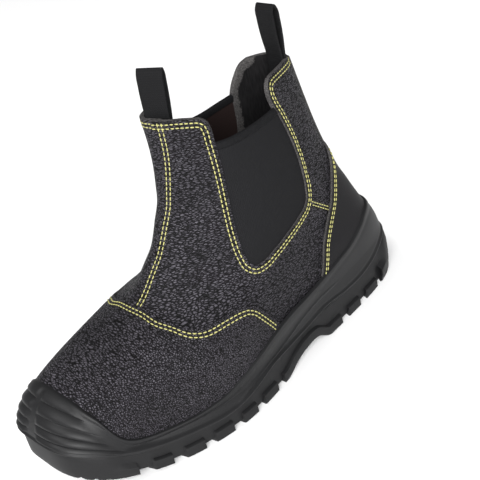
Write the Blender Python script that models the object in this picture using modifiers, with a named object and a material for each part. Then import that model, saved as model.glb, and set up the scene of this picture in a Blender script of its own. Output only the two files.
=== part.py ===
"""Black slip-on safety boot with elastic sides, left foot, standing empty on its sole.

Toe towards -Y, outer side of the foot towards +X, floor at Z = 0.
Sizes below are millimetres, the mesh is made in metres.
"""
import math

import bmesh
import bpy
import numpy as np
from mathutils import Matrix

MM = 0.001
CENTRE_AT = (2.5, 2.2, 0.0)
GAP = 0.3
LEDGE_GAP = 0.4
MERGE = 0.005

# walls and layers
UPPER_WALL = 2.6
OVERLAY_GAP = 0.55
OVERLAY_WALL = 1.4
GORE_DEPTH = 0.8
GORE_WALL = 1.5
GORE_CLEARANCE = 0.7
LIP_WIDTH = 2.4
SOCKET_GAP = 0.45
INSOLE_CLEARANCE = 0.7
INSOLE_HEIGHT = 4.0

# how finely the forms are cut
COLUMNS = 60
TOE_DENSITY = 1.2
TOE_REACH = (0.10, 0.18)
SHOE_ROWS = 13
SHAFT_ROWS = 7
SHAFT_START = 6.0
EDGE_MERGE = 0.15
WALL_ROWS = 19

# the upper: one row for each ring from the sole's feather edge to the collar
SECTION_COLUMNS = (
    "front_y", "front_z", "back_y", "back_z",
    "outer_toe", "outer_ball", "outer_waist", "outer_heel",
    "inner_toe", "inner_ball", "inner_waist", "inner_heel",
    "toe_round", "heel_round", "toe_swing", "front_slant",
)
UPPER_SECTIONS = np.array([
    (-138.0, 31.0, 139.0, 34.0, 54.0, 56.5, 45.0, 38.5, 40.5, 45.0, 34.0, 37.0, 0.50, 0.55, -8.0, 0.00),
    (-140.5, 43.0, 142.0, 47.0, 56.0, 59.0, 46.5, 40.0, 42.0, 47.5, 37.0, 38.5, 0.50, 0.55, -8.0, 0.00),
    (-137.5, 54.5, 142.0, 57.0, 54.5, 58.0, 46.5, 40.0, 41.0, 47.0, 39.0, 39.0, 0.60, 0.55, -7.5, 0.00),
    (-126.5, 63.5, 138.5, 65.5, 51.0, 55.0, 45.5, 39.0, 39.5, 45.5, 39.5, 38.0, 0.80, 0.55, -7.0, 0.00),
    (-106.0, 70.0, 133.0, 76.0, 46.5, 50.0, 44.0, 37.5, 38.5, 43.5, 39.5, 37.0, 0.95, 0.57, -6.0, 0.00),
    (-80.0, 75.0, 127.5, 87.0, 41.5, 45.5, 42.5, 36.0, 37.0, 41.5, 39.0, 35.5, 1.00, 0.60, -4.0, 0.00),
    (-58.0, 82.0, 121.0, 99.0, 38.5, 43.0, 41.0, 34.5, 34.0, 39.5, 38.0, 33.5, 0.95, 0.62, -2.5, 0.00),
    (-43.0, 95.0, 116.0, 111.0, 36.5, 41.5, 39.5, 33.0, 31.0, 37.5, 36.5, 32.0, 0.90, 0.65, -1.0, 0.02),
    (-30.0, 110.0, 112.0, 124.0, 36.5, 40.0, 38.0, 31.5, 30.0, 35.0, 34.0, 30.5, 0.85, 0.68, 0.0, 0.06),
    (-19.0, 128.0, 108.5, 139.0, 37.5, 38.5, 36.0, 29.5, 29.5, 30.5, 30.0, 28.5, 0.80, 0.70, 0.0, 0.12),
    (-12.0, 148.0, 106.0, 154.0, 39.0, 37.0, 33.0, 27.0, 29.5, 24.0, 24.5, 26.0, 0.72, 0.73, 0.0, 0.20),
    (-8.5, 166.0, 103.0, 171.0, 40.5, 35.5, 30.0, 25.0, 29.0, 18.0, 19.5, 24.5, 0.65, 0.75, 0.0, 0.28),
    (-8.0, 187.0, 100.0, 188.0, 42.0, 34.0, 27.5, 23.0, 28.5, 16.0, 18.0, 24.5, 0.62, 0.75, 0.0, 0.35),
])
TOP = len(UPPER_SECTIONS) - 1
WIDTH_STATIONS = (0.0, 0.12, 0.35, 0.60, 0.85, 1.0)

# under side of the last, seen from the side
LAST_COLUMNS = ("y", "z")
LAST_BOTTOM = np.array([
    (-138.0, 31.0),
    (-100.0, 23.5),
    (-60.0, 21.0),
    (0.0, 24.0),
    (60.0, 31.0),
    (139.0, 34.0),
])
LAST_FADE = 4.0

# the sole's outline in plan, as one more ring
SOLE_FRONT = -148.5
SOLE_BACK = 152.5
SOLE_OUTER = (60.0, 63.0, 48.0, 43.0)
SOLE_INNER = (45.5, 51.0, 38.0, 42.0)
SOLE_TOE_ROUND = 0.50
SOLE_HEEL_ROUND = 0.55
SOLE_SWING = -8.0

# heights of the sole's side along its length
SOLE_COLUMNS = ("y", "tread", "ledge")
SOLE_SIDE = np.array([
    (-148.5, 18.0, 33.5),
    (-130.0, 10.0, 26.5),
    (-110.0, 4.5, 20.5),
    (-90.0, 1.0, 17.0),
    (-74.0, 0.0, 15.5),
    (-44.0, 0.0, 14.5),
    (-34.0, 0.0, 15.3),
    (-20.0, 0.0, 17.5),
    (-6.0, 0.0, 19.5),
    (6.0, 0.0, 20.0),
    (20.0, 5.0, 20.5),
    (32.0, 7.5, 21.0),
    (46.0, 7.0, 21.5),
    (58.0, 0.0, 21.5),
    (80.0, 0.0, 21.5),
    (104.0, 0.0, 22.0),
    (124.0, 0.0, 26.5),
    (136.0, 0.5, 32.0),
    (152.5, 3.0, 38.0),
])

# height of the sole's upper lip, by the share of the way from toe to heel
LIP_COLUMNS = ("along", "lip")
LIP_LINE = np.array([
    (0.000, 63.0),
    (0.026, 59.3),
    (0.049, 54.2),
    (0.064, 49.8),
    (0.076, 43.5),
    (0.086, 37.5),
    (0.098, 32.5),
    (0.115, 29.0),
    (0.140, 26.8),
    (0.180, 25.5),
    (0.290, 25.5),
    (0.340, 27.5),
    (0.400, 32.5),
    (0.440, 36.0),
    (0.520, 41.0),
    (0.600, 43.5),
    (0.660, 44.5),
    (0.770, 48.3),
    (0.850, 52.0),
    (0.906, 57.3),
    (0.940, 61.0),
    (1.000, 63.0),
])

# relief of the sole's side wall from ledge to lip: bead, groove, band, ridge
RELIEF_COLUMNS = ("share", "relief")
SIDE_RELIEF = np.array([
    (0.00, 0.9),
    (0.12, 0.9),
    (0.22, 0.0),
    (0.52, 0.0),
    (0.60, -1.1),
    (0.68, -1.1),
    (0.78, 0.4),
    (0.92, 0.4),
    (1.00, 0.0),
])
BUMPER_RIBS = 5.0
BUMPER_RIB_RELIEF = 0.9
BUMPER_STRIP = 9.0
BUMPER_END = (0.045, 0.075)

# outsole side: lug face, step and wall
LUG_HEIGHT = 8.0
LUG_PROUD = 0.5
LUG_CHAMFER = 1.0
STEP_IN = 1.6
TREAD_DEPTH = 6.5
GROOVE_COLUMNS = ("y", "width", "reach", "turn")
EDGE_GROOVES = np.array([
    (-106.0, 7.0, 24.0, 20.0),
    (-86.5, 8.0, 28.0, 16.0),
    (-66.0, 8.0, 30.0, 12.0),
    (-44.5, 8.5, 30.0, 8.0),
    (-24.5, 8.0, 30.0, 4.0),
    (-2.0, 8.0, 28.0, 0.0),
    (78.5, 9.0, 24.0, -14.0),
    (102.0, 9.0, 24.0, -20.0),
    (125.5, 7.0, 20.0, -28.0),
])
CHEVRON_DEPTH = 3.5
CHEVRON_WIDTH = 5.0
CHEVRON_ARM = 17.0
CHEVRON_TURN = 28.0
CHEVRONS = (-96.0, -76.0, -55.0, -34.0, -13.0, 90.0, 112.0)

# panel edges on the upper: height by the share of the way from toe to heel
VAMP_COLUMNS = ("along", "height")
VAMP_EDGE = np.array([
    (0.000, 81.7),
    (0.021, 80.8),
    (0.064, 78.5),
    (0.105, 76.8),
    (0.135, 75.8),
    (0.160, 75.0),
    (0.189, 73.8),
    (0.213, 72.8),
    (0.239, 71.5),
    (0.256, 70.6),
    (0.278, 70.0),
    (0.303, 69.9),
    (0.338, 70.6),
    (0.358, 70.8),
    (0.378, 70.6),
    (0.398, 70.0),
    (0.428, 68.2),
    (0.450, 65.7),
    (0.470, 62.3),
    (0.491, 57.6),
    (0.510, 51.2),
    (0.526, 45.0),
])
COUNTER_COLUMNS = ("along", "height")
COUNTER_EDGE = np.array([
    (0.724, 53.0),
    (0.741, 62.0),
    (0.777, 75.0),
    (0.831, 87.5),
    (0.877, 97.0),
    (0.922, 106.0),
    (0.965, 113.5),
    (1.000, 117.0),
])
BACKSTAY_START = 121.0
BACKSTAY_END = 184.0
BACKSTAY_HALF_ANGLE = 0.26
BACKSTAY_COLUMNS = 5

# cut-out for the elastic gore, seen from the side, with a radius for each corner
CUTOUT_COLUMNS = ("y", "z", "radius")
CUTOUT_FRONT = (
    (-16.0, 215.0, 0.0),
    (-16.0, 188.2, 0.0),
    (9.0, 188.8, 9.0),
    (4.0, 83.0, 9.0),
    (69.5, 101.0, 9.0),
    (71.0, 130.0, 50.0),
)
OUTER_CUTOUT = CUTOUT_FRONT + (
    (60.5, 172.0, 20.0),
    (61.5, 187.8, 8.0),
    (92.0, 189.2, 0.0),
    (92.0, 215.0, 0.0),
)
INNER_CUTOUT = CUTOUT_FRONT + (
    (66.5, 169.0, 20.0),
    (83.0, 188.4, 12.0),
    (92.0, 189.2, 0.0),
    (92.0, 215.0, 0.0),
)
ARC_STEPS = 5
CUTTER_NEAR = 8.0
CUTTER_FAR = 80.0
GORE_TOP = 168.5
GORE_ROWS = 12
GORE_SPANS = 7

# pull loops: a folded tape, its path seen from the tape's edge, with its legs apart and swelling by a belly
TAPE_WIDTH = 17.0
TAPE_WALL = 1.4
LEG_SPACING = 2.2
LOOP_COLUMNS = ("leg", "swell", "up")
LOOP_PATH = np.array([
    (0.0, 0.00, -14.0),
    (0.0, 0.00, 0.0),
    (0.0, 0.85, 13.0),
    (0.0, 1.00, 25.0),
    (0.0, 0.60, 33.5),
    (0.5, 0.00, 36.5),
    (1.0, -0.60, 33.5),
    (1.0, -1.00, 25.0),
    (1.0, -0.85, 13.0),
    (1.0, 0.00, 0.0),
    (1.0, 0.00, -14.0),
])
LOOP_STEPS = 26
FRONT_LOOP_AT = (-2.4, -3.4, 182.5)
FRONT_LOOP_TURN = 18.0
FRONT_LOOP_LEAN = 6.0
FRONT_LOOP_BELLY = 1.4
BACK_LOOP_AT = (0.0, 93.8, 188.0)
BACK_LOOP_TURN = 180.0
BACK_LOOP_LEAN = -6.0
BACK_LOOP_BELLY = 3.0

# colour, roughness and metallic value of each material
FINISHES = {
    "leather": ((0.020, 0.019, 0.022), 0.50, 0.0),
    "counter_leather": ((0.017, 0.016, 0.018), 0.42, 0.0),
    "elastic": ((0.012, 0.012, 0.013), 0.85, 0.0),
    "webbing": ((0.010, 0.010, 0.011), 0.75, 0.0),
    "sole_rubber": ((0.022, 0.022, 0.024), 0.60, 0.0),
    "tread_rubber": ((0.016, 0.016, 0.018), 0.70, 0.0),
    "footbed": ((0.035, 0.034, 0.034), 0.90, 0.0),
}


def smooth(xs, ys, x):
    """Value at x of a smooth curve through the points, without overshoot past the ends."""
    xs = np.asarray(xs, float)
    ys = np.asarray(ys, float)
    x = np.clip(np.asarray(x, float), xs[0], xs[-1])
    step = np.diff(xs)
    rise = np.diff(ys) / step
    slope = np.empty_like(ys)
    slope[0] = rise[0]
    slope[-1] = rise[-1]
    slope[1:-1] = (rise[:-1] * step[1:] + rise[1:] * step[:-1]) / (step[:-1] + step[1:])
    k = np.clip(np.searchsorted(xs, x, side="right") - 1, 0, len(xs) - 2)
    u = (x - xs[k]) / step[k]
    start = (1 + 2 * u) * (1 - u) ** 2 * ys[k] + u * (1 - u) ** 2 * step[k] * slope[k]
    end = u * u * (3 - 2 * u) * ys[k + 1] + u * u * (u - 1) * step[k] * slope[k + 1]
    return start + end


def ease(low, high, x):
    """Smooth step from 0 at low to 1 at high."""
    u = np.clip((np.asarray(x, float) - low) / (high - low), 0, 1)
    return u * u * (3 - 2 * u)


def section(name, t):
    """One column of the upper's table, smoothed between its rings."""
    values = UPPER_SECTIONS[:, SECTION_COLUMNS.index(name)]
    return smooth(np.arange(TOP + 1), values, t)


def half_width(along, widths, toe_round, heel_round):
    """Half width at a share of the way from toe to heel, drawn in to nothing at both ends."""
    total = 0
    for k, width in enumerate(widths):
        reach = np.zeros(len(WIDTH_STATIONS))
        reach[k + 1] = 1
        if k == 0:
            reach[0] = 1
        if k == len(widths) - 1:
            reach[-1] = 1
        total = total + smooth(WIDTH_STATIONS, reach, along) * width
    rounding = np.where(along < 0.5, toe_round, heel_round)
    return total * (2 * np.sqrt(np.clip(along * (1 - along), 0, None))) ** rounding


def share(theta):
    """Share of the way from toe to heel at an angle round the boot."""
    return (1 - np.cos(theta)) / 2


def upper_point(theta, t):
    """Outer face of the upper; theta runs from the toe by the outer side, t from sole to collar."""
    theta, t = np.broadcast_arrays(np.asarray(theta, float), np.asarray(t, float))
    along = share(theta)
    front_y = section("front_y", t)
    front_z = section("front_z", t)
    y = front_y + (section("back_y", t) - front_y) * along
    z = front_z + (section("back_z", t) - front_z) * along
    first, last = UPPER_SECTIONS[0], LAST_BOTTOM
    level = first[1] + (first[3] - first[1]) * (y - first[0]) / (first[2] - first[0])
    sag = smooth(last[:, 0], last[:, 1], y) - level
    z = z + sag * np.clip(1 - t / LAST_FADE, 0, 1) ** 1.5
    rounds = section("toe_round", t), section("heel_round", t)
    outer = half_width(along, [section("outer_" + n, t) for n in ("toe", "ball", "waist", "heel")], *rounds)
    inner = half_width(along, [section("inner_" + n, t) for n in ("toe", "ball", "waist", "heel")], *rounds)
    x = np.where(np.sin(theta) >= 0, outer, -inner) + section("toe_swing", t) * (1 - along) ** 2
    y = y + section("front_slant", t) * x * (1 - along) ** 4
    return np.stack([x, y, z], axis=-1)


def upper_normal(theta, t):
    """Outward direction of the upper's face."""
    step = 0.02
    low = np.clip(np.asarray(t, float) - step, 0, TOP)
    high = np.clip(np.asarray(t, float) + step, 0, TOP)
    around = upper_point(theta + step, t) - upper_point(theta - step, t)
    upward = upper_point(theta, high) - upper_point(theta, low)
    normal = np.cross(around, upward)
    return normal / np.linalg.norm(normal, axis=-1, keepdims=True)


def upper_face(theta, t, offset):
    """The upper's outer face moved outward by an offset."""
    return upper_point(theta, t) + upper_normal(theta, t) * np.asarray(offset)[..., None]


def ring_at_height(theta, z):
    """Ring number at which a column of the upper reaches a height."""
    theta, z = np.broadcast_arrays(np.asarray(theta, float), np.asarray(z, float))
    low = np.zeros(theta.shape)
    high = np.full(theta.shape, float(TOP))
    for _ in range(40):
        middle = (low + high) / 2
        below = upper_point(theta, middle)[..., 2] < z
        low = np.where(below, middle, low)
        high = np.where(below, high, middle)
    return (low + high) / 2


def ring_at_side_point(y, z, side):
    """Angle on one side and ring number of the points seen at y, z from the side."""
    low = np.zeros(np.shape(y))
    high = np.full(np.shape(y), float(TOP))
    for _ in range(40):
        middle = (low + high) / 2
        front_y = section("front_y", middle)
        length = section("back_y", middle) - front_y
        along = (y - front_y) / length
        for _ in range(4):
            theta = side * np.arccos(1 - 2 * np.clip(along, 0.001, 0.999))
            point = upper_point(theta, middle)
            along = along + (y - point[..., 1]) / length
        below = point[..., 2] < z
        low = np.where(below, middle, low)
        high = np.where(below, high, middle)
    return theta, (low + high) / 2


def sole_plan(theta, grow):
    """The sole's outline in plan, moved outward by an amount."""
    theta = np.asarray(theta, float)

    def outline(angle):
        along = share(angle)
        outer = half_width(along, SOLE_OUTER, SOLE_TOE_ROUND, SOLE_HEEL_ROUND)
        inner = half_width(along, SOLE_INNER, SOLE_TOE_ROUND, SOLE_HEEL_ROUND)
        x = np.where(np.sin(angle) >= 0, outer, -inner) + SOLE_SWING * (1 - along) ** 2
        return np.stack([x, SOLE_FRONT + (SOLE_BACK - SOLE_FRONT) * along], axis=-1)

    step = 0.02
    along_edge = outline(theta + step) - outline(theta - step)
    outward = np.stack([along_edge[..., 1], -along_edge[..., 0]], axis=-1)
    outward = outward / np.linalg.norm(outward, axis=-1, keepdims=True)
    return outline(theta) + outward * np.asarray(grow)[..., None]


def sole_height(name, y):
    """Height of the tread or the ledge along the sole, nowhere under the floor."""
    return np.maximum(smooth(SOLE_SIDE[:, 0], SOLE_SIDE[:, SOLE_COLUMNS.index(name)], y), 0)


def lip_height(theta):
    """Height of the sole's upper lip round the boot."""
    return smooth(LIP_LINE[:, 0], LIP_LINE[:, 1], share(theta))


def ring_rows():
    """Ring numbers of the upper's rows of points, closer together over the foot."""
    shoe = np.linspace(0, SHAFT_START, SHOE_ROWS)
    shaft = np.linspace(SHAFT_START, TOP, SHAFT_ROWS + 1)[1:]
    return np.concatenate([shoe, shaft])


def rows_between(low, high):
    """The upper's rows held between a lower and an upper ring number on each column."""
    rows = ring_rows()
    first = max(np.searchsorted(rows, low.min()) - 1, 0)
    last = np.searchsorted(rows, high.max()) + 1
    t = np.clip(rows[first:last, None], low, high)
    t = np.where(t < low + EDGE_MERGE, low, t)
    return np.where(t > high - EDGE_MERGE, high, t)


def column_angles():
    """Angles of the columns along the upper's widest ring, closer at the toe, paired side to side."""
    fine = np.linspace(0, math.pi, 721)
    ring = upper_point(fine, 1.0)
    pace = np.linalg.norm(np.diff(ring, axis=0), axis=1)
    pace = pace * (1 + TOE_DENSITY * (1 - ease(*TOE_REACH, share(fine[1:]))))
    run = np.concatenate([[0], np.cumsum(pace)])
    half = np.interp(np.linspace(0, run[-1], COLUMNS // 2 + 1), run, fine)
    return np.concatenate([half, 2 * math.pi - half[-2:0:-1]])


def make_material(name):
    """Plain shader with a finish from the table."""
    colour, roughness, metallic = FINISHES[name]
    material = bpy.data.materials.new(name)
    material.use_nodes = True
    shader = material.node_tree.nodes["Principled BSDF"]
    shader.inputs["Base Color"].default_value = (*colour, 1)
    shader.inputs["Roughness"].default_value = roughness
    shader.inputs["Metallic"].default_value = metallic
    return material


def add_mesh(name, points, faces, finish, closed):
    """New object from points in millimetres; a closed one gets its faces turned outward."""
    mesh = bpy.data.meshes.new(name)
    mesh.from_pydata((np.asarray(points) * MM).tolist(), [], faces)
    shape = bmesh.new()
    shape.from_mesh(mesh)
    bmesh.ops.remove_doubles(shape, verts=shape.verts, dist=MERGE * MM)
    if closed:
        bmesh.ops.recalc_face_normals(shape, faces=shape.faces)
    shape.to_mesh(mesh)
    shape.free()
    mesh.shade_smooth()
    mesh.set_sharp_from_angle(angle=math.radians(40))
    mesh.materials.append(materials[finish])
    obj = bpy.data.objects.new(name, mesh)
    boot_parts.objects.link(obj)
    obj.parent = boot
    return obj


def grid_faces(rows, columns, wraps):
    """Quads of a grid of points stored row by row."""
    faces = []
    for r in range(rows - 1):
        for c in range(columns if wraps else columns - 1):
            d = (c + 1) % columns
            faces.append((r * columns + c, r * columns + d, (r + 1) * columns + d, (r + 1) * columns + c))
    return faces


def strip_cap(start, columns):
    """Quads that close a ring by joining each outer point to its partner on the inner side."""
    half = columns // 2
    faces = [(start, start + 1, start + columns - 1)]
    for i in range(1, half - 1):
        faces.append((start + i, start + i + 1, start + columns - i - 1, start + columns - i))
    faces.append((start + half - 1, start + half, start + half + 1))
    return faces


def thicken(obj, wall, outward):
    """Give an open sheet its wall."""
    solid = obj.modifiers.new("wall", "SOLIDIFY")
    solid.thickness = wall * MM
    solid.offset = 1 if outward else -1
    solid.use_even_offset = True


def loft_solid(name, rings, finish):
    """Closed solid through rings of equal point count, capped by strips at both ends."""
    columns = len(rings[0])
    points = np.concatenate(rings)
    faces = grid_faces(len(rings), columns, True)
    faces += strip_cap(0, columns)
    faces += strip_cap((len(rings) - 1) * columns, columns)
    return add_mesh(name, points, faces, finish, True)


def rounded_outline(corners):
    """Points of an outline whose corners carry radii."""
    points = []
    count = len(corners)
    for i, (y, z, radius) in enumerate(corners):
        here = np.array([y, z])
        back = np.array(corners[i - 1][:2]) - here
        ahead = np.array(corners[(i + 1) % count][:2]) - here
        back = back / np.linalg.norm(back)
        ahead = ahead / np.linalg.norm(ahead)
        if radius == 0:
            points.append(here)
            continue
        opening = math.acos(np.clip(back @ ahead, -1, 1))
        reach = radius / math.tan(opening / 2)
        middle = (back + ahead) / np.linalg.norm(back + ahead)
        centre = here + middle * radius / math.sin(opening / 2)
        first = here + back * reach - centre
        last = here + ahead * reach - centre
        for u in np.linspace(0, 1, ARC_STEPS):
            spoke = first * (1 - u) + last * u
            points.append(centre + spoke * radius / np.linalg.norm(spoke))
    return np.array(points)


def inset_corners(corners, amount):
    """Corners of an outline drawn in by an amount, with radii to match."""
    count = len(corners)
    flat = np.array([c[:2] for c in corners])
    edges = np.roll(flat, -1, axis=0) - flat
    turn = np.sign(np.sum(flat[:, 0] * np.roll(flat[:, 1], -1) - np.roll(flat[:, 0], -1) * flat[:, 1]))
    inward = np.stack([-edges[:, 1], edges[:, 0]], axis=1) * turn
    inward = inward / np.linalg.norm(inward, axis=1, keepdims=True)
    result = []
    for i in range(count):
        a, b = edges[i - 1], edges[i]
        start = flat[i] + inward[i - 1] * amount
        other = flat[i] + inward[i] * amount
        cross = a[0] * b[1] - a[1] * b[0]
        gap = other - start
        corner = start + a * (gap[0] * b[1] - gap[1] * b[0]) / cross
        bends_in = cross * turn > 0
        radius = corners[i][2]
        if radius > 0:
            radius = radius - amount if bends_in else radius + amount
        result.append((corner[0], corner[1], radius))
    return result


def span_at(outline, z):
    """Front and rear edge of an outline at a height."""
    crossings = []
    for start, end in zip(outline, np.roll(outline, -1, axis=0)):
        if (start[1] - z) * (end[1] - z) < 0:
            crossings.append(start[0] + (end[0] - start[0]) * (z - start[1]) / (end[1] - start[1]))
    return min(crossings), max(crossings)


def add_cutter(name, mesh):
    """Keep a cutting shape out of sight."""
    obj = bpy.data.objects.new(name, mesh)
    obj.hide_render = True
    obj.display_type = "WIRE"
    boot_cutters.objects.link(obj)
    obj.parent = boot
    return obj


def cut(obj, cutter, crosses_itself=False):
    """Take a cutter's shape out of a piece."""
    boolean = obj.modifiers.new("cut", "BOOLEAN")
    boolean.operation = "DIFFERENCE"
    boolean.object = cutter
    boolean.use_self = crosses_itself


def gore_cutter(name, side, cutout):
    """Prism across one side of the shaft, the shape of the gore's cut-out."""
    outline = rounded_outline(cutout)
    shape = bmesh.new()
    corners = [shape.verts.new((side * CUTTER_NEAR * MM, y * MM, z * MM)) for y, z in outline]
    face = shape.faces.new(corners)
    made = bmesh.ops.extrude_face_region(shape, geom=[face])
    moved = [v for v in made["geom"] if isinstance(v, bmesh.types.BMVert)]
    bmesh.ops.translate(shape, verts=moved, vec=(side * (CUTTER_FAR - CUTTER_NEAR) * MM, 0, 0))
    bmesh.ops.recalc_face_normals(shape, faces=shape.faces)
    mesh = bpy.data.meshes.new(name)
    shape.to_mesh(mesh)
    shape.free()
    return add_cutter(name, mesh)


def make_upper(angles):
    """Leather upper: a lofted sheet with a wall, open below and at the collar, cut for both gores."""
    theta, t = np.meshgrid(angles, ring_rows())
    points = upper_point(theta, t).reshape(-1, 3)
    obj = add_mesh("upper", points, grid_faces(len(t), COLUMNS, True), "leather", False)
    thicken(obj, UPPER_WALL, False)
    cut(obj, gore_cutter("gore_cutter_outer", 1, OUTER_CUTOUT))
    cut(obj, gore_cutter("gore_cutter_inner", -1, INNER_CUTOUT))


def make_panel(name, angles, low, high, finish):
    """Overlay on the upper between a lower and an upper height on each column."""
    t = rows_between(ring_at_height(angles, low), ring_at_height(angles, high))
    theta = np.broadcast_to(angles, t.shape)
    points = upper_face(theta, t, np.full(t.shape, OVERLAY_GAP)).reshape(-1, 3)
    obj = add_mesh(name, points, grid_faces(*t.shape, False), finish, False)
    thicken(obj, OVERLAY_WALL, True)


def make_vamp(angles):
    """Vamp: over the toe box and down both sides, with its waved top edge."""
    signed = np.sort(np.where(angles > math.pi, angles - 2 * math.pi, angles))
    own = signed[share(signed) < VAMP_EDGE[-1, 0]]
    top = smooth(VAMP_EDGE[:, 0], VAMP_EDGE[:, 1], share(own))
    make_panel("vamp", own, lip_height(own) + LIP_WIDTH / 2, top, "leather")


def make_counter(angles):
    """Heel counter: round the back above the sole's heel cup."""
    own = angles[share(angles) > COUNTER_EDGE[0, 0]]
    top = smooth(COUNTER_EDGE[:, 0], COUNTER_EDGE[:, 1], share(own))
    make_panel("heel_counter", own, lip_height(own) + LIP_WIDTH / 2, top, "counter_leather")


def make_backstay():
    """Narrow strip over the back seam, from the counter to the collar."""
    own = math.pi + np.linspace(-BACKSTAY_HALF_ANGLE, BACKSTAY_HALF_ANGLE, BACKSTAY_COLUMNS)
    start = np.full(own.shape, BACKSTAY_START)
    end = np.full(own.shape, BACKSTAY_END)
    make_panel("backstay", own, start, end, "counter_leather")


def make_gore(name, side, cutout):
    """Elastic gore inside its cut-out, set back from the leather's face."""
    outline = rounded_outline(inset_corners(cutout, GORE_CLEARANCE))
    lowest = outline[:, 1].min()
    heights = lowest + (GORE_TOP - lowest) * np.linspace(0.012, 1, GORE_ROWS) ** 1.3
    points = []
    for z in heights:
        front, rear = span_at(outline, z)
        y = np.linspace(front, rear, GORE_SPANS)
        theta, t = ring_at_side_point(y, np.full(y.shape, z), side)
        points.append(upper_face(theta, t, np.full(y.shape, -GORE_DEPTH)))
    faces = grid_faces(GORE_ROWS, GORE_SPANS, False)
    if side < 0:
        faces = [face[::-1] for face in faces]
    obj = add_mesh(name, np.concatenate(points), faces, "elastic", False)
    thicken(obj, GORE_WALL, False)


def side_relief(theta, climb):
    """How far the sole's side stands out: ridge all round, toe bumper ribs in front, bead and groove behind."""
    sides = smooth(SIDE_RELIEF[:, 0], SIDE_RELIEF[:, 1], climb)
    waves = np.cos(2 * math.pi * BUMPER_RIBS * climb)
    ribs = BUMPER_RIB_RELIEF * waves * ease(0.1, 0.25, climb) * ease(1, 0.85, climb)
    in_front = (1 - ease(*BUMPER_END, share(theta))) * ease(0.1, 0.25, climb)
    across = sole_plan(theta, np.zeros(np.shape(theta)))[..., 0] - SOLE_SWING
    off_centre = ease(BUMPER_STRIP * 0.6, BUMPER_STRIP, np.abs(across))
    return sides * (1 - in_front) + ribs * in_front * off_centre


def wall_ring(angles, climb):
    """Ring on the outside of the midsole, from its ledge at 0 to its lip at 1."""
    foot = upper_point(angles, 0.0)
    outward = sole_plan(angles, np.zeros(angles.shape)) - foot[:, :2]
    unit = outward / np.linalg.norm(outward, axis=1, keepdims=True)
    edge = foot[:, :2] + outward + unit * SIDE_RELIEF[0, 1]
    ledge = sole_height("ledge", edge[:, 1]) + LEDGE_GAP
    z = ledge + (lip_height(angles) - ledge) * climb
    t = np.where(z > foot[:, 2], ring_at_height(angles, z), 0)
    near = upper_face(angles, t, np.full(angles.shape, LIP_WIDTH) * climb)
    relief = side_relief(angles, np.full(angles.shape, climb))[:, None]
    xy = near[:, :2] + outward * (1 - climb) ** 1.4 + unit * relief
    return np.column_stack([xy, np.where(z > foot[:, 2], near[:, 2], z)])


def make_midsole(angles):
    """Moulded midsole: side wall, toe bumper and heel cup round the upper, closed under the foot."""
    rings = [wall_ring(angles, climb) for climb in np.linspace(0, 1, WALL_ROWS)]
    socket = rows_between(np.zeros(angles.shape), ring_at_height(angles, lip_height(angles)))
    for t in socket[::-1]:
        rings.append(upper_face(angles, t, np.full(angles.shape, SOCKET_GAP)))
    floor = rings[-1].copy()
    floor[:, 2] -= GAP
    rings.append(floor)
    loft_solid("midsole", rings, "sole_rubber")


def make_insole(angles):
    """Footbed on the midsole's floor, inside the upper's wall."""
    inside = -(UPPER_WALL + INSOLE_CLEARANCE)
    under = upper_face(angles, np.zeros(angles.shape), np.full(angles.shape, inside))
    under[:, 2] = upper_point(angles, 0.0)[:, 2]
    over = under.copy()
    over[:, 2] += INSOLE_HEIGHT
    loft_solid("insole", [under, over], "footbed")


def groove_cutter():
    """Blocks that cut the grooves between the outsole's lugs."""
    shape = bmesh.new()
    for y, width, reach, turn in EDGE_GROOVES:
        for side in (1, -1):
            along = (y - SOLE_FRONT) / (SOLE_BACK - SOLE_FRONT)
            theta = math.acos(1 - 2 * along) * side
            edge = sole_plan(np.array([theta]), np.zeros(1))[0]
            add_block(shape, edge[0], y, reach * 2, width, TREAD_DEPTH, side * turn)
    for y in CHEVRONS:
        for side in (1, -1):
            centre = side * CHEVRON_ARM * 0.55
            add_block(shape, centre - 1.0, y, CHEVRON_ARM, CHEVRON_WIDTH, CHEVRON_DEPTH, side * CHEVRON_TURN)
    mesh = bpy.data.meshes.new("groove_cutter")
    shape.to_mesh(mesh)
    shape.free()
    return add_cutter("groove_cutter", mesh)


def add_block(shape, x, y, length, width, depth, turn):
    """One groove block, from under the floor up to its depth above the tread."""
    bottom = -4.0
    top = float(sole_height("tread", y)) + depth
    made = bmesh.ops.create_cube(shape, size=1.0)
    bmesh.ops.scale(shape, verts=made["verts"], vec=(length * MM, width * MM, (top - bottom) * MM))
    spin = Matrix.Rotation(math.radians(turn), 3, "Z")
    bmesh.ops.rotate(shape, verts=made["verts"], cent=(0, 0, 0), matrix=spin)
    bmesh.ops.translate(shape, verts=made["verts"], vec=(x * MM, y * MM, (top + bottom) / 2 * MM))


def outsole_ring(angles, grow, name, lift):
    """Ring on the outsole's side at a lift above the tread or the ledge."""
    plan = sole_plan(angles, np.full(angles.shape, grow))
    return np.column_stack([plan, sole_height(name, plan[:, 1]) + lift])


def make_outsole(angles):
    """Outsole: wall, step, lug faces and tread with its grooves."""
    rings = [
        outsole_ring(angles, -0.4, "ledge", 0.0),
        outsole_ring(angles, -STEP_IN, "ledge", -1.2),
        outsole_ring(angles, -STEP_IN, "tread", LUG_HEIGHT + 0.6),
        outsole_ring(angles, LUG_PROUD, "tread", LUG_HEIGHT - 0.4),
        outsole_ring(angles, LUG_PROUD, "tread", LUG_CHAMFER),
        outsole_ring(angles, -LUG_CHAMFER, "tread", 0.0),
    ]
    obj = loft_solid("outsole", rings, "tread_rubber")
    cut(obj, groove_cutter(), crosses_itself=True)


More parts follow.
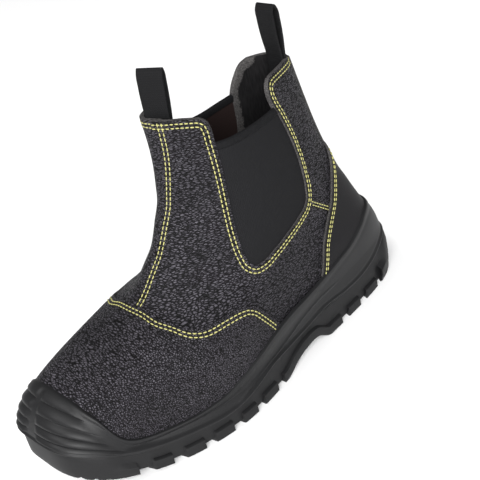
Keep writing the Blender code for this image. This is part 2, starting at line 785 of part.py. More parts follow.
def make_loop(name, at, turn, lean, belly):
    """Pull loop: a folded tape with both ends inside the collar."""
    leg, swell, rise = LOOP_PATH.T
    path = np.column_stack([swell * belly - leg * LEG_SPACING, rise])
    run = np.concatenate([[0], np.cumsum(np.linalg.norm(np.diff(path, axis=0), axis=1))])
    steps = np.linspace(0, run[-1], LOOP_STEPS)
    out = smooth(run, path[:, 0], steps)
    up = smooth(run, path[:, 1], steps)
    points = []
    for across in (TAPE_WIDTH / 2, -TAPE_WIDTH / 2):
        points.append(np.column_stack([np.full(LOOP_STEPS, across), -out, up]))
    obj = add_mesh(name, np.concatenate(points), grid_faces(2, LOOP_STEPS, False), "webbing", False)
    thicken(obj, TAPE_WALL, False)
    obj.modifiers["wall"].offset = 0
    obj.location = [v * MM for v in at]
    obj.rotation_euler = (0, math.radians(lean), math.radians(turn))


for old in list(bpy.data.objects):
    bpy.data.objects.remove(old)

boot_parts = bpy.data.collections.new("safety_boot")
bpy.context.scene.collection.children.link(boot_parts)
boot_cutters = bpy.data.collections.new("safety_boot_cutters")
bpy.context.scene.collection.children.link(boot_cutters)
boot = bpy.data.objects.new("boot_frame", None)
boot_parts.objects.link(boot)
boot.location = [-v * MM for v in CENTRE_AT]
materials = {name: make_material(name) for name in FINISHES}

columns = column_angles()
make_outsole(columns)
make_midsole(columns)
make_insole(columns)
make_upper(columns)
make_vamp(columns)
make_counter(columns)
make_backstay()
make_gore("gore_outer", 1, OUTER_CUTOUT)
make_gore("gore_inner", -1, INNER_CUTOUT)
make_loop("pull_loop_front", FRONT_LOOP_AT, FRONT_LOOP_TURN, FRONT_LOOP_LEAN, FRONT_LOOP_BELLY)
make_loop("pull_loop_back", BACK_LOOP_AT, BACK_LOOP_TURN, BACK_LOOP_LEAN, BACK_LOOP_BELLY)
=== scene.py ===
"""Looks of a black slip-on safety boot, left foot, standing empty on its sole.

Grained leather panels with stitch rows, elastic sides, pull loops and a moulded sole.
Sizes are millimetres in the part's own table frame; meshes are written in metres.
"""
import math

import bpy
import numpy as np
from mathutils import Matrix


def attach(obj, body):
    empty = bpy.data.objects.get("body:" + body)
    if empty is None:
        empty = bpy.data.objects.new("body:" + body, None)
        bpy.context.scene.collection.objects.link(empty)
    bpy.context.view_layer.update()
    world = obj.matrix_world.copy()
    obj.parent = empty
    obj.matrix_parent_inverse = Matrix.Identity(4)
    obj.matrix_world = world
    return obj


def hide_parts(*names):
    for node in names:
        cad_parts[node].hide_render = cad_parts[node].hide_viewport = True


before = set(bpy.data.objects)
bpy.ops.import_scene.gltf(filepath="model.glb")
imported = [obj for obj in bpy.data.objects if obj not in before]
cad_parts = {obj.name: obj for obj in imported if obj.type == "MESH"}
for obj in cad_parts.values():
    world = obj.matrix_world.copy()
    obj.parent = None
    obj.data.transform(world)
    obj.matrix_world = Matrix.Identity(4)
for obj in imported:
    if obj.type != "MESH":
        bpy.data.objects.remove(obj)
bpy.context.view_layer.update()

MM = 0.001
CENTRE_AT = np.array([2.5, 2.2, 0.0])

# the upper: one row for each ring from the sole's feather edge to the collar
SECTION_COLUMNS = (
    "front_y", "front_z", "back_y", "back_z",
    "outer_toe", "outer_ball", "outer_waist", "outer_heel",
    "inner_toe", "inner_ball", "inner_waist", "inner_heel",
    "toe_round", "heel_round", "toe_swing", "front_slant",
)
UPPER_SECTIONS = np.array([
    (-138.0, 31.0, 139.0, 34.0, 54.0, 56.5, 45.0, 38.5, 40.5, 45.0, 34.0, 37.0, 0.50, 0.55, -8.0, 0.00),
    (-140.5, 43.0, 141.0, 47.0, 56.0, 59.0, 46.5, 40.0, 42.0, 47.5, 37.0, 38.5, 0.50, 0.55, -8.0, 0.00),
    (-137.5, 54.5, 139.5, 57.0, 54.5, 58.0, 46.5, 40.0, 41.0, 47.0, 39.0, 39.0, 0.60, 0.55, -7.5, 0.00),
    (-126.5, 63.5, 135.0, 65.5, 51.0, 55.0, 45.5, 39.0, 39.5, 45.5, 39.5, 38.0, 0.80, 0.55, -7.0, 0.00),
    (-106.0, 70.0, 130.0, 76.0, 46.5, 50.0, 44.0, 37.5, 38.5, 43.5, 39.5, 37.0, 0.95, 0.57, -6.0, 0.00),
    (-80.0, 75.0, 125.2, 87.0, 41.5, 45.5, 42.5, 36.0, 37.0, 41.5, 39.0, 35.5, 1.00, 0.60, -4.0, 0.00),
    (-58.0, 82.0, 119.5, 99.0, 38.5, 43.0, 41.0, 34.5, 34.0, 39.5, 38.0, 33.5, 0.95, 0.62, -2.5, 0.00),
    (-43.0, 95.0, 116.0, 111.0, 36.5, 41.5, 39.5, 33.0, 31.0, 37.5, 36.5, 32.0, 0.90, 0.65, -1.0, 0.02),
    (-30.0, 110.0, 112.0, 124.0, 36.5, 40.0, 38.0, 31.5, 30.0, 35.0, 34.0, 30.5, 0.85, 0.68, 0.0, 0.06),
    (-19.0, 128.0, 108.5, 139.0, 37.5, 38.5, 36.0, 29.5, 29.5, 30.5, 30.0, 28.5, 0.80, 0.70, 0.0, 0.12),
    (-12.0, 148.0, 106.0, 154.0, 39.0, 37.0, 33.0, 27.0, 29.5, 24.0, 24.5, 26.0, 0.72, 0.73, 0.0, 0.20),
    (-8.5, 166.0, 103.0, 171.0, 40.5, 35.5, 30.0, 25.0, 29.0, 18.0, 19.5, 24.5, 0.65, 0.75, 0.0, 0.28),
    (-8.0, 187.0, 100.0, 188.0, 42.0, 34.0, 27.5, 23.0, 28.5, 16.0, 18.0, 24.5, 0.62, 0.75, 0.0, 0.35),
])
TOP = len(UPPER_SECTIONS) - 1
WIDTH_STATIONS = (0.0, 0.12, 0.35, 0.60, 0.85, 1.0)
LAST_BOTTOM = np.array([
    (-138.0, 31.0), (-100.0, 23.5), (-60.0, 21.0), (0.0, 24.0), (60.0, 31.0), (139.0, 34.0),
])
LAST_FADE = 4.0

# the sole's outline in plan and the heights along its side
SOLE_FRONT, SOLE_BACK = -148.5, 152.5
SOLE_OUTER = (60.0, 63.0, 48.0, 43.0)
SOLE_INNER = (45.5, 51.0, 38.0, 42.0)
SOLE_TOE_ROUND, SOLE_HEEL_ROUND = 0.50, 0.55
SOLE_SWING = -8.0
SOLE_COLUMNS = ("y", "tread", "ledge")
SOLE_SIDE = np.array([
    (-148.5, 18.0, 37.0), (-130.0, 10.0, 28.3), (-110.0, 4.5, 20.8), (-90.0, 1.0, 17.0), (-74.0, 0.0, 15.5),
    (-44.0, 0.0, 14.5), (-34.0, 0.0, 15.8), (-20.0, 0.0, 18.5), (-6.0, 0.0, 21.2), (6.0, 0.0, 21.3),
    (20.0, 5.0, 21.0), (32.0, 7.5, 21.2), (46.0, 7.0, 22.5), (58.0, 0.0, 23.5), (69.0, 0.0, 22.7),
    (80.0, 0.0, 21.5), (104.0, 0.0, 21.0), (124.0, 0.0, 24.5), (136.0, 0.5, 28.5), (152.5, 3.0, 33.5),
])

# height of the sole's upper lip, by the share of the way from toe to heel
LIP_LINE = np.array([
    (0.000, 63.0), (0.026, 59.3), (0.049, 54.2), (0.064, 49.8), (0.076, 43.5), (0.086, 37.5), (0.098, 32.5),
    (0.115, 29.0), (0.140, 26.8), (0.180, 25.5), (0.290, 25.5), (0.340, 27.5), (0.400, 32.5), (0.440, 36.0),
    (0.520, 41.0), (0.600, 43.5), (0.660, 44.5), (0.770, 48.3), (0.850, 52.0), (0.906, 57.3), (0.940, 61.0),
    (1.000, 63.0),
])
LIP_WIDTH = 3.0
LIP_ROUND = 1.6

# relief of the sole's side wall: bead at the ledge, waist ridge, rolled lip and the bumper's ribs
BEAD_RISE, BEAD_AT = 1.0, 0.9
LIP_ROLL = np.array([
    (0.00, 1.8), (0.30, 1.8), (0.42, 3.6), (0.60, 4.2), (0.72, 3.0), (1.00, 2.6),
])
RIDGE_LINE = np.array([
    (-39.0, 18.0), (-21.0, 23.0), (2.0, 26.0), (18.0, 28.0), (37.0, 31.4), (55.0, 33.5),
    (69.0, 33.5), (86.0, 32.5),
])
RIDGE_RISE, RIDGE_WIDTH = 0.8, 0.9
BUMPER_RIBS = (0.03, 0.19)
BUMPER_RELIEF = 1.5
BUMPER_STRIP = (5.0, 7.5)
BUMPER_END = (0.125, 0.105)

# outsole side and tread
LUG_HEIGHT, LUG_PROUD, LUG_CHAMFER, STEP_IN, TREAD_DEPTH = 7.8, 0.5, 1.0, 1.6, 6.5
EDGE_GROOVES = np.array([
    (-108.5, 9.7, 24.0, 20.0), (-88.0, 8.7, 28.0, 16.0), (-67.0, 8.0, 30.0, 12.0), (-45.2, 8.7, 30.0, 8.0),
    (-24.5, 8.0, 30.0, 4.0), (-2.0, 8.0, 28.0, 0.0), (76.7, 9.0, 24.0, -14.0), (99.9, 8.6, 24.0, -20.0),
    (123.4, 6.8, 20.0, -28.0),
])
TOE_NOTCHES = (-142.0, -136.2, -130.2, -123.6)
CHEVRON_ROWS = (-125.5, -106.0, -86.0, -65.5, -44.5, -23.5, 79.5, 101.0)
CHEVRON_THICK, CHEVRON_ARM, CHEVRON_DROP = 11.0, 15.0, 7.0

# panel edges on the upper: height by the share of the way from toe to heel
VAMP_EDGE = np.array([
    (0.000, 81.7), (0.064, 78.5), (0.135, 75.8), (0.190, 73.8), (0.241, 71.5), (0.280, 70.0), (0.340, 70.6),
    (0.381, 70.6), (0.432, 68.2), (0.475, 62.3), (0.515, 51.2), (0.531, 45.0), (0.545, 38.0), (0.562, 29.0),
])
COUNTER_EDGE = np.array([
    (0.703, 37.0), (0.718, 45.7), (0.748, 62.2), (0.785, 75.3), (0.839, 87.5),
    (0.928, 106.5), (0.967, 114.5),
    (1.000, 118.5),
])
BACKSTAY_SPAN = (112.0, 186.0)
BACKSTAY_HALF_ANGLE = 0.26

# edge of the leather round the elastic, seen from the side: down the front, along the foot, up the rear
GORE_FRONT = np.array([
    (0.5, 187.0), (4.5, 186.4), (7.3, 183.8), (8.6, 179.2), (9.0, 171.0), (9.3, 155.0), (8.0, 131.0),
    (5.3, 108.6), (4.6, 95.0), (5.5, 89.3),
])
GORE_FOOT = np.array([
    (8.8, 85.9), (14.0, 85.5), (26.0, 88.0), (42.4, 92.6), (57.0, 96.9), (63.5, 99.0),
])
GORE_REAR = {
    1: np.array([
        (67.6, 102.6), (69.6, 109.5), (70.7, 128.7), (68.2, 147.6), (64.5, 162.0),
        (61.3, 171.0), (60.3, 178.0), (61.6, 183.6), (65.0, 186.8), (69.5, 187.7),
    ]),
    -1: np.array([
        (67.6, 102.6), (69.6, 109.5), (70.7, 128.7), (69.8, 147.6), (67.8, 160.0),
        (66.8, 168.5), (69.5, 174.5), (74.5, 180.5), (80.0, 185.4), (86.0, 187.8),
    ]),
}
GORE_CORNERS = (10, 16)
GORE_TOP = 168.5
GORE_DEPTH, GORE_WALL, GORE_TUCK = 1.1, 1.2, 3.0

# walls, laps and stitch rows
LEATHER_WALL = 3.0
FELT_BAND = 6.0
OVERLAY_RISE, OVERLAY_WALL = 1.7, 1.6
LAP_EDGE, LAP_TUCK, LAP_LIFT = -3.6, 6.0, 1.3
GORE_ROWS = (2.5, 5.1)
SEAM_ROWS = (4.6, 7.5)
VAMP_ROWS = (2.9, 5.3)
COUNTER_ROWS = (3.2, 5.2)
VAMP_ROWS_END, COUNTER_ROWS_START = 0.532, 0.719
STITCH_PITCH, STITCH_LENGTH, STITCH_WIDTH = 3.2, 2.6, 0.95

# creases as soft troughs and ridges: ends seen from the side, depth and width
CREASES = (
    (-62.0, 62.0, -36.0, 52.0, 0.5, 5.0),
    (-50.0, 56.0, -26.0, 44.0, -0.4, 5.0),
    (-44.0, 108.0, -8.0, 100.0, 0.6, 6.0),
    (-30.0, 122.0, -4.0, 116.0, -0.4, 6.0),
    (-22.0, 134.0, 2.0, 130.0, 0.4, 5.0),
    (76.0, 118.0, 90.0, 122.0, 0.5, 2.6),
    (75.0, 126.0, 89.0, 132.0, 0.4, 2.4),
    (74.0, 135.0, 86.0, 142.0, 0.4, 2.4),
    (74.0, 108.0, 90.0, 110.0, -0.4, 3.0),
)

# pull loops: a folded tape, its path seen from the tape's edge
TAPE_WIDTH, TAPE_WALL, LEG_SPACING = 16.6, 1.4, 2.2
LOOP_PATH = np.array([
    (0.0, 0.00, -14.0), (0.0, 0.00, 0.0), (0.0, 0.85, 13.0), (0.0, 1.00, 25.0), (0.0, 0.60, 32.3),
    (0.5, 0.00, 35.2),
    (1.0, -0.60, 32.3), (1.0, -1.00, 25.0), (1.0, -0.85, 13.0), (1.0, 0.00, 0.0), (1.0, 0.00, -14.0),
])
FRONT_LOOP = ((-3.2, -4.0, 182.5), 24.9, 4.1, 1.4, 7.3)
BACK_LOOP = ((3.6, 94.6, 188.0), 172.0, 1.4, 1.3, 4.0)

# the camera, as fitted to the photograph
CAMERA_AT = np.array([471.8, -318.8, 406.4])
CAMERA_RIGHT = (0.6720, 0.7110, -0.2071)
CAMERA_UP = (-0.2369, 0.4713, 0.8496)
CAMERA_BACK = (0.7016, -0.5219, 0.4851)
CAMERA_LENS = 74.82


def smooth(xs, ys, x):
    """Value at x of a smooth curve through the points, without overshoot past the ends."""
    xs = np.asarray(xs, float)
    ys = np.asarray(ys, float)
    x = np.clip(np.asarray(x, float), xs[0], xs[-1])
    step = np.diff(xs)
    rise = np.diff(ys) / step
    slope = np.empty_like(ys)
    slope[0] = rise[0]
    slope[-1] = rise[-1]
    slope[1:-1] = (rise[:-1] * step[1:] + rise[1:] * step[:-1]) / (step[:-1] + step[1:])
    k = np.clip(np.searchsorted(xs, x, side="right") - 1, 0, len(xs) - 2)
    u = (x - xs[k]) / step[k]
    start = (1 + 2 * u) * (1 - u) ** 2 * ys[k] + u * (1 - u) ** 2 * step[k] * slope[k]
    end = u * u * (3 - 2 * u) * ys[k + 1] + u * u * (u - 1) * step[k] * slope[k + 1]
    return start + end


def ease(low, high, x):
    """Smooth step from 0 at low to 1 at high."""
    u = np.clip((np.asarray(x, float) - low) / (high - low), 0, 1)
    return u * u * (3 - 2 * u)


def dent(distance, width):
    """Soft bump of height 1 and a width, for grooves and ridges."""
    return np.exp(-(np.asarray(distance) / width) ** 2)


def section(name, t):
    """One column of the upper's table, smoothed between its rings."""
    return smooth(np.arange(TOP + 1), UPPER_SECTIONS[:, SECTION_COLUMNS.index(name)], t)


def half_width(along, widths, toe_round, heel_round):
    """Half width at a share of the way from toe to heel, drawn in to nothing at both ends."""
    total = 0
    for k, width in enumerate(widths):
        reach = np.zeros(len(WIDTH_STATIONS))
        reach[k + 1] = 1
        if k == 0:
            reach[0] = 1
        if k == len(widths) - 1:
            reach[-1] = 1
        total = total + smooth(WIDTH_STATIONS, reach, along) * width
    rounding = np.where(along < 0.5, toe_round, heel_round)
    return total * (2 * np.sqrt(np.clip(along * (1 - along), 0, None))) ** rounding


def share(theta):
    """Share of the way from toe to heel at an angle round the boot."""
    return (1 - np.cos(theta)) / 2


def upper_point(theta, t):
    """Outer face of the upper; theta runs from the toe by the outer side, t from sole to collar."""
    theta, t = np.broadcast_arrays(np.asarray(theta, float), np.asarray(t, float))
    along = share(theta)
    front_y = section("front_y", t)
    front_z = section("front_z", t)
    y = front_y + (section("back_y", t) - front_y) * along
    z = front_z + (section("back_z", t) - front_z) * along
    first = UPPER_SECTIONS[0]
    level = first[1] + (first[3] - first[1]) * (y - first[0]) / (first[2] - first[0])
    sag = smooth(LAST_BOTTOM[:, 0], LAST_BOTTOM[:, 1], y) - level
    z = z + sag * np.clip(1 - t / LAST_FADE, 0, 1) ** 1.5
    rounds = section("toe_round", t), section("heel_round", t)
    outer = half_width(along, [section("outer_" + n, t) for n in ("toe", "ball", "waist", "heel")], *rounds)
    inner = half_width(along, [section("inner_" + n, t) for n in ("toe", "ball", "waist", "heel")], *rounds)
    x = np.where(np.sin(theta) >= 0, outer, -inner) + section("toe_swing", t) * (1 - along) ** 2
    y = y + section("front_slant", t) * x * (1 - along) ** 4
    return np.stack([x, y, z], axis=-1)


def slopes(theta, t):
    """How the upper's face runs round the boot and upward, per unit of angle and ring."""
    step = 0.02
    low = np.clip(np.asarray(t, float) - step, 0, TOP)
    high = np.clip(np.asarray(t, float) + step, 0, TOP)
    around = (upper_point(theta + step, t) - upper_point(theta - step, t)) / (2 * step)
    upward = (upper_point(theta, high) - upper_point(theta, low)) / (high - low)[..., None]
    return around, upward


def upper_normal(theta, t):
    """Outward direction of the upper's face."""
    normal = np.cross(*slopes(theta, t))
    return normal / np.linalg.norm(normal, axis=-1, keepdims=True)


def upper_face(theta, t, offset):
    """The upper's outer face moved outward by an offset."""
    offset = np.broadcast_to(np.asarray(offset, float), np.shape(theta))
    return upper_point(theta, t) + upper_normal(theta, t) * offset[..., None]


def ring_at_height(theta, z):
    """Ring number at which a column of the upper reaches a height."""
    theta, z = np.broadcast_arrays(np.asarray(theta, float), np.asarray(z, float))
    low = np.zeros(theta.shape)
    high = np.full(theta.shape, float(TOP))
    for _ in range(30):
        middle = (low + high) / 2
        below = upper_point(theta, middle)[..., 2] < z
        low = np.where(below, middle, low)
        high = np.where(below, high, middle)
    return (low + high) / 2


def ring_at_side_point(y, z, side):
    """Angle on one side and ring number of the points seen at y, z from the side."""
    low = np.zeros(np.shape(y))
    high = np.full(np.shape(y), float(TOP))
    for _ in range(30):
        middle = (low + high) / 2
        front_y = section("front_y", middle)
        length = section("back_y", middle) - front_y
        along = (y - front_y) / length
        for _ in range(4):
            theta = side * np.arccos(1 - 2 * np.clip(along, 0.001, 0.999))
            point = upper_point(theta, middle)
            along = along + (y - point[..., 1]) / length
        below = point[..., 2] < z
        low = np.where(below, middle, low)
        high = np.where(below, high, middle)
    return theta, (low + high) / 2


def angle_at_width(x, t):
    """Angle near the front at which a ring reaches a sideways place."""
    low = np.full(np.shape(t), -0.8)
    high = np.full(np.shape(t), 0.8)
    for _ in range(30):
        middle = (low + high) / 2
        below = upper_point(middle, t)[..., 0] < x
        low = np.where(below, middle, low)
        high = np.where(below, high, middle)
    return (low + high) / 2


def sole_plan(theta, grow):
    """The sole's outline in plan, moved outward by an amount."""
    theta = np.asarray(theta, float)

    def outline(angle):
        along = share(angle)
        outer = half_width(along, SOLE_OUTER, SOLE_TOE_ROUND, SOLE_HEEL_ROUND)
        inner = half_width(along, SOLE_INNER, SOLE_TOE_ROUND, SOLE_HEEL_ROUND)
        x = np.where(np.sin(angle) >= 0, outer, -inner) + SOLE_SWING * (1 - along) ** 2
        return np.stack([x, SOLE_FRONT + (SOLE_BACK - SOLE_FRONT) * along], axis=-1)

    step = 0.02
    along_edge = outline(theta + step) - outline(theta - step)
    outward = np.stack([along_edge[..., 1], -along_edge[..., 0]], axis=-1)
    outward = outward / np.linalg.norm(outward, axis=-1, keepdims=True)
    return outline(theta) + outward * np.broadcast_to(np.asarray(grow, float), theta.shape)[..., None]


def sole_height(name, y):
    """Height of the tread or the ledge along the sole, nowhere under the floor."""
    return np.maximum(smooth(SOLE_SIDE[:, 0], SOLE_SIDE[:, SOLE_COLUMNS.index(name)], y), 0)


def lip_height(theta):
    """Height of the sole's upper lip round the boot."""
    return smooth(LIP_LINE[:, 0], LIP_LINE[:, 1], share(theta))


def spaced_angles(first, last, u):
    """Angles at shares of the way between two angles, even along the upper's widest ring."""
    fine = np.linspace(first, last, 1441)
    pace = np.linalg.norm(np.diff(upper_point(fine, 1.0), axis=0), axis=1)
    run = np.concatenate([[0], np.cumsum(pace)])
    return np.interp(u * run[-1], run, fine)


def creases(points):
    """Depth of the listed creases at points of the upper."""
    depth = np.zeros(points.shape[:-1])
    flat = points[..., 1:]
    for y0, z0, y1, z1, deep, wide in CREASES:
        start = np.array([y0, z0])
        run = np.array([y1, z1]) - start
        along = np.clip((flat - start) @ run / (run @ run), 0, 1)
        off = np.linalg.norm(flat - start - along[..., None] * run, axis=-1)
        depth = depth - deep * dent(off, wide)
    return depth


# modelling steps


def grid(name, columns, rows, place):
    """Grid primitive whose points are set by place, from their shares u and v, in millimetres."""
    bpy.ops.object.select_all(action="DESELECT")
    bpy.ops.mesh.primitive_grid_add(x_subdivisions=columns, y_subdivisions=rows, size=1)
    obj = bpy.context.object
    obj.name = name
    obj.data.name = name
    flat = np.empty(len(obj.data.vertices) * 3, dtype=np.float32)
    obj.data.vertices.foreach_get("co", flat)
    u = np.clip(flat[0::3] + 0.5, 0, 1).astype(float)
    v = np.clip(flat[1::3] + 0.5, 0, 1).astype(float)
    points = (place(u, v) - CENTRE_AT) * MM
    obj.data.vertices.foreach_set("co", points.astype(np.float32).ravel())
    obj.data.update()
    return obj


def joined(name, points, faces):
    """One mesh from arrays of points in millimetres and faces."""
    mesh = bpy.data.meshes.new(name)
    mesh.from_pydata(((points - CENTRE_AT) * MM).tolist(), [], faces)
    obj = bpy.data.objects.new(name, mesh)
    bpy.context.scene.collection.objects.link(obj)
    return obj


def pick(obj):
    """Make one object the only selected and active one."""
    bpy.ops.object.select_all(action="DESELECT")
    obj.select_set(True)
    bpy.context.view_layer.objects.active = obj


def apply(obj, kind, **settings):
    """Add a modifier with these settings and apply it."""
    pick(obj)
    bpy.ops.object.modifier_add(type=kind)
    modifier = obj.modifiers[-1]
    for key, value in settings.items():
        setattr(modifier, key, value)
    bpy.ops.object.modifier_apply(modifier=modifier.name)


def close_up(obj, cap):
    """Weld the seam of a rolled grid, close its open ends and turn its faces outward."""
    pick(obj)
    bpy.ops.object.mode_set(mode="EDIT")
    bpy.ops.mesh.select_all(action="SELECT")
    bpy.ops.mesh.remove_doubles(threshold=0.00002)
    if cap:
        bpy.ops.mesh.select_all(action="DESELECT")
        bpy.ops.mesh.select_mode(type="EDGE")
        bpy.ops.mesh.select_non_manifold(extend=False)
        bpy.ops.mesh.fill()
        bpy.ops.mesh.select_all(action="SELECT")
    bpy.ops.mesh.normals_make_consistent(inside=False)
    bpy.ops.object.mode_set(mode="OBJECT")


def round_edges(obj, width, angle):
    """Round the edges that are sharper than an angle."""
    apply(obj, "BEVEL", width=width * MM, segments=2, limit_method="ANGLE", angle_limit=math.radians(angle))


def thicken(obj, thickness, inner=0, rim=0, round_edge=0.35):
    """Give a sheet its wall on the inner side, with its edges rounded."""
    slots = {"material_offset": inner, "material_offset_rim": rim}
    apply(obj, "SOLIDIFY", thickness=thickness * MM, offset=-1, **slots)
    if round_edge:
        round_edges(obj, round_edge, 50)


def straighten_wall(obj, front, back):
    """Set the inner points of a sheet that just got its wall to their true places, in millimetres."""
    flat = np.empty(len(obj.data.vertices) * 3, dtype=np.float32)
    obj.data.vertices.foreach_get("co", flat)
    halves = flat.reshape(2, -1, 3)
    away = np.abs(halves - (front - CENTRE_AT) * MM).sum(axis=(1, 2))
    halves[np.argmax(away)] = (back - CENTRE_AT) * MM
    obj.data.vertices.foreach_set("co", halves.ravel())
    obj.data.update()


def mark_felt(obj, rim):
    """Note how near each point lies to a rim in millimetres: 1 on it, 0 from two felt bands away."""
    flat = np.empty(len(obj.data.vertices) * 3, dtype=np.float32)
    obj.data.vertices.foreach_get("co", flat)
    points = flat.reshape(-1, 3) / MM + CENTRE_AT
    away = np.array([np.min(np.linalg.norm(rim - point, axis=1)) for point in points])
    near = obj.data.attributes.new("felt", "FLOAT", "POINT")
    near.data.foreach_set("value", np.clip(1 - away / (2 * FELT_BAND), 0, 1).astype(np.float32))


def finish_piece(obj, node, angle=45):
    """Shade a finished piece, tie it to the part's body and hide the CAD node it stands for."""
    pick(obj)
    bpy.ops.object.shade_smooth_by_angle(angle=math.radians(angle))
    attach(obj, "root")
    if node:
        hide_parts(node)


def give(obj, *names):
    """Put finishes into an object's material slots in this order."""
    for name in names:
        obj.data.materials.append(finishes[name])


# finishes


class Value:
    """One shader socket; sums and products on it add the Math nodes."""

    def __init__(self, finish, socket):
        self.finish = finish
        self.socket = socket

    def maths(self, operation, first, second=None, third=None):
        inputs = {i: v for i, v in enumerate((first, second, third)) if v is not None}
        return self.finish.node("Math", {"operation": operation}, inputs, "Value")

    def __add__(self, other):
        return self.maths("ADD", self, other)

    def __sub__(self, other):
        return self.maths("SUBTRACT", self, other)

    def __rsub__(self, other):
        return self.maths("SUBTRACT", other, self)

    def __mul__(self, other):
        return self.maths("MULTIPLY", self, other)

    def __truediv__(self, other):
        return self.maths("DIVIDE", self, other)

    def __pow__(self, other):
        return self.maths("POWER", self, other)

    __radd__ = __add__
    __rmul__ = __mul__

    def wave(self):
        return self.maths("SINE", self)

    def within(self, low, high):
        return self.maths("MINIMUM", self.maths("MAXIMUM", self, low), high)

    def ramp(self, low, high):
        settings = {"interpolation_type": "SMOOTHSTEP"}
        inputs = {"Value": self, "From Min": low, "From Max": high}
        return self.finish.node("MapRange", settings, inputs, "Result")


class Finish:
    """A procedural material on one principled shader."""

    def __init__(self, name):
        self.material = bpy.data.materials.new(name)
        self.material.use_nodes = True
        self.tree = self.material.node_tree
        self.shader = self.tree.nodes["Principled BSDF"]

    def node(self, kind, settings, inputs, output):
        made = self.tree.nodes.new("ShaderNode" + kind)
        for key, value in settings.items():
            setattr(made, key, value)
        for key, value in inputs.items():
            if isinstance(value, Value):
                self.tree.links.new(value.socket, made.inputs[key])
            else:
                made.inputs[key].default_value = value
        return Value(self, made.outputs[output])

    def place(self, kind="Object", scale=(1, 1, 1)):
        coords = self.node("TexCoord", {}, {}, kind)
        return self.node("Mapping", {}, {"Vector": coords, "Scale": scale}, "Vector")

    def axis(self, name, kind="Object"):
        return self.node("SeparateXYZ", {}, {"Vector": self.node("TexCoord", {}, {}, kind)}, name)

    def noise(self, vector, scale, detail=2.0, rough=0.5):
        inputs = {"Vector": vector, "Scale": scale, "Detail": detail, "Roughness": rough}
        return self.node("TexNoise", {}, inputs, "Fac")

    def cells(self, vector, scale, feature="F1", output="Distance"):
        return self.node("TexVoronoi", {"feature": feature}, {"Vector": vector, "Scale": scale}, output)

    def warp(self, vector, scale, amount):
        shift = self.node("TexNoise", {}, {"Vector": vector, "Scale": scale, "Detail": 2.0}, "Color")
        halved = {0: shift, 1: (0.5, 0.5, 0.5)}
        centred = self.node("VectorMath", {"operation": "SUBTRACT"}, halved, "Vector")
        moved = {0: centred, 1: (amount, amount, amount), 2: vector}
        return self.node("VectorMath", {"operation": "MULTIPLY_ADD"}, moved, "Vector")

    def mix(self, factor, first, second):
        inputs = {"Factor": factor, 6: (*first, 1), 7: (*second, 1)}
        return self.node("Mix", {"data_type": "RGBA"}, inputs, 2)

    def bump(self, height, strength, distance):
        inputs = {"Height": height, "Strength": strength, "Distance": distance * MM}
        self.tree.links.new(self.node("Bump", {}, inputs, "Normal").socket, self.shader.inputs["Normal"])

    def set(self, **sockets):
        for key, value in sockets.items():
            socket = self.shader.inputs[key.replace("_", " ")]
            if isinstance(value, Value):
                self.tree.links.new(value.socket, socket)
            else:
                socket.default_value = value
        return self.material


def leather(name, stretch, scale, dark, light):
    """Grained leather: wrinkled folds drawn out by the stretch, painted shade dark between, satin on top."""
    m = Finish(name)
    spot = m.warp(m.place(scale=stretch), 160.0, 0.0035)
    dome = 1 - m.cells(spot, scale)
    body = m.cells(spot, scale, "DISTANCE_TO_EDGE").ramp(0.0, 0.22) * dome.ramp(0.1, 0.7)
    fold = m.noise(spot, scale * 0.9, 2.0, 0.6).ramp(0.30, 0.70)
    fine = m.noise(spot, scale * 3.0, 2.0)
    patch = m.noise(m.place(), 30.0, 2.0)
    m.bump(body * 0.9 + fold * 0.4 + fine * 0.2, 1.0, 0.8)
    # painted shade: the colour drops to the dark gap tone between pebbles and is lower in the fold hollows,
    # standing in for the shade there; patch and fine vary the tone at random
    tone = body * (fold * 0.4 + 0.6) * (patch * 0.6 + fine * 0.3 + 0.25)
    rough = 0.66 - body * 0.26 + patch * 0.08
    colour = m.mix(tone.within(0.0, 1.0), dark, light)
    return m.set(Base_Color=colour, Roughness=rough, Specular_IOR_Level=0.14)


def smooth_leather(name):
    """Counter leather with hardly any grain."""
    m = Finish(name)
    fine = m.noise(m.warp(m.place(), 300.0, 0.0008), 900.0, 3.0)
    patch = m.noise(m.place(), 40.0, 2.0)
    m.bump(fine, 0.35, 0.2)
    colour = m.mix(patch, (0.0035, 0.0033, 0.004), (0.0065, 0.006, 0.007))
    return m.set(Base_Color=colour, Roughness=0.48 + patch * 0.12, Specular_IOR_Level=0.12)


def raw_edge(name):
    """Cut edge of felt-backed leather, mid grey and fuzzy."""
    m = Finish(name)
    fuzz = m.noise(m.place(), 1500.0, 4.0, 0.7)
    patch = m.noise(m.place(), 160.0, 2.0)
    m.bump(fuzz, 1.0, 0.4)
    tone = fuzz.ramp(0.3, 0.75) * (patch * 0.8 + 0.5)
    colour = m.mix(tone.within(0.0, 1.0), (0.012, 0.0115, 0.012), (0.105, 0.10, 0.098))
    return m.set(Base_Color=colour, Roughness=0.95, Specular_IOR_Level=0.1)


def lining(name):
    """Black knitted lining with fine upright ribs, bare felt in a band along the rim."""
    m = Finish(name)
    spot = m.place(scale=(1, 1, 0.12))
    ribs = m.cells(spot, 900.0)
    fuzz = m.noise(m.place(), 1500.0, 4.0, 0.7)
    edge = m.noise(m.place(), 260.0, 3.0)
    near = m.node("Attribute", {"attribute_name": "felt"}, {}, "Fac")
    felt = (near + edge * 0.24 + fuzz * 0.2 - 0.22).ramp(0.44, 0.56)
    m.bump(ribs * (1 - felt) + fuzz * felt * 1.5, 0.7, 0.3)
    knit = m.mix(ribs, (0.003, 0.003, 0.0033), (0.010, 0.0095, 0.010))
    wool = m.mix(fuzz.ramp(0.3, 0.75), (0.012, 0.0115, 0.012), (0.105, 0.10, 0.098))
    colour = m.node("Mix", {"data_type": "RGBA"}, {"Factor": felt, 6: knit, 7: wool}, 2)
    return m.set(Base_Color=colour, Roughness=0.92, Specular_IOR_Level=0.1)


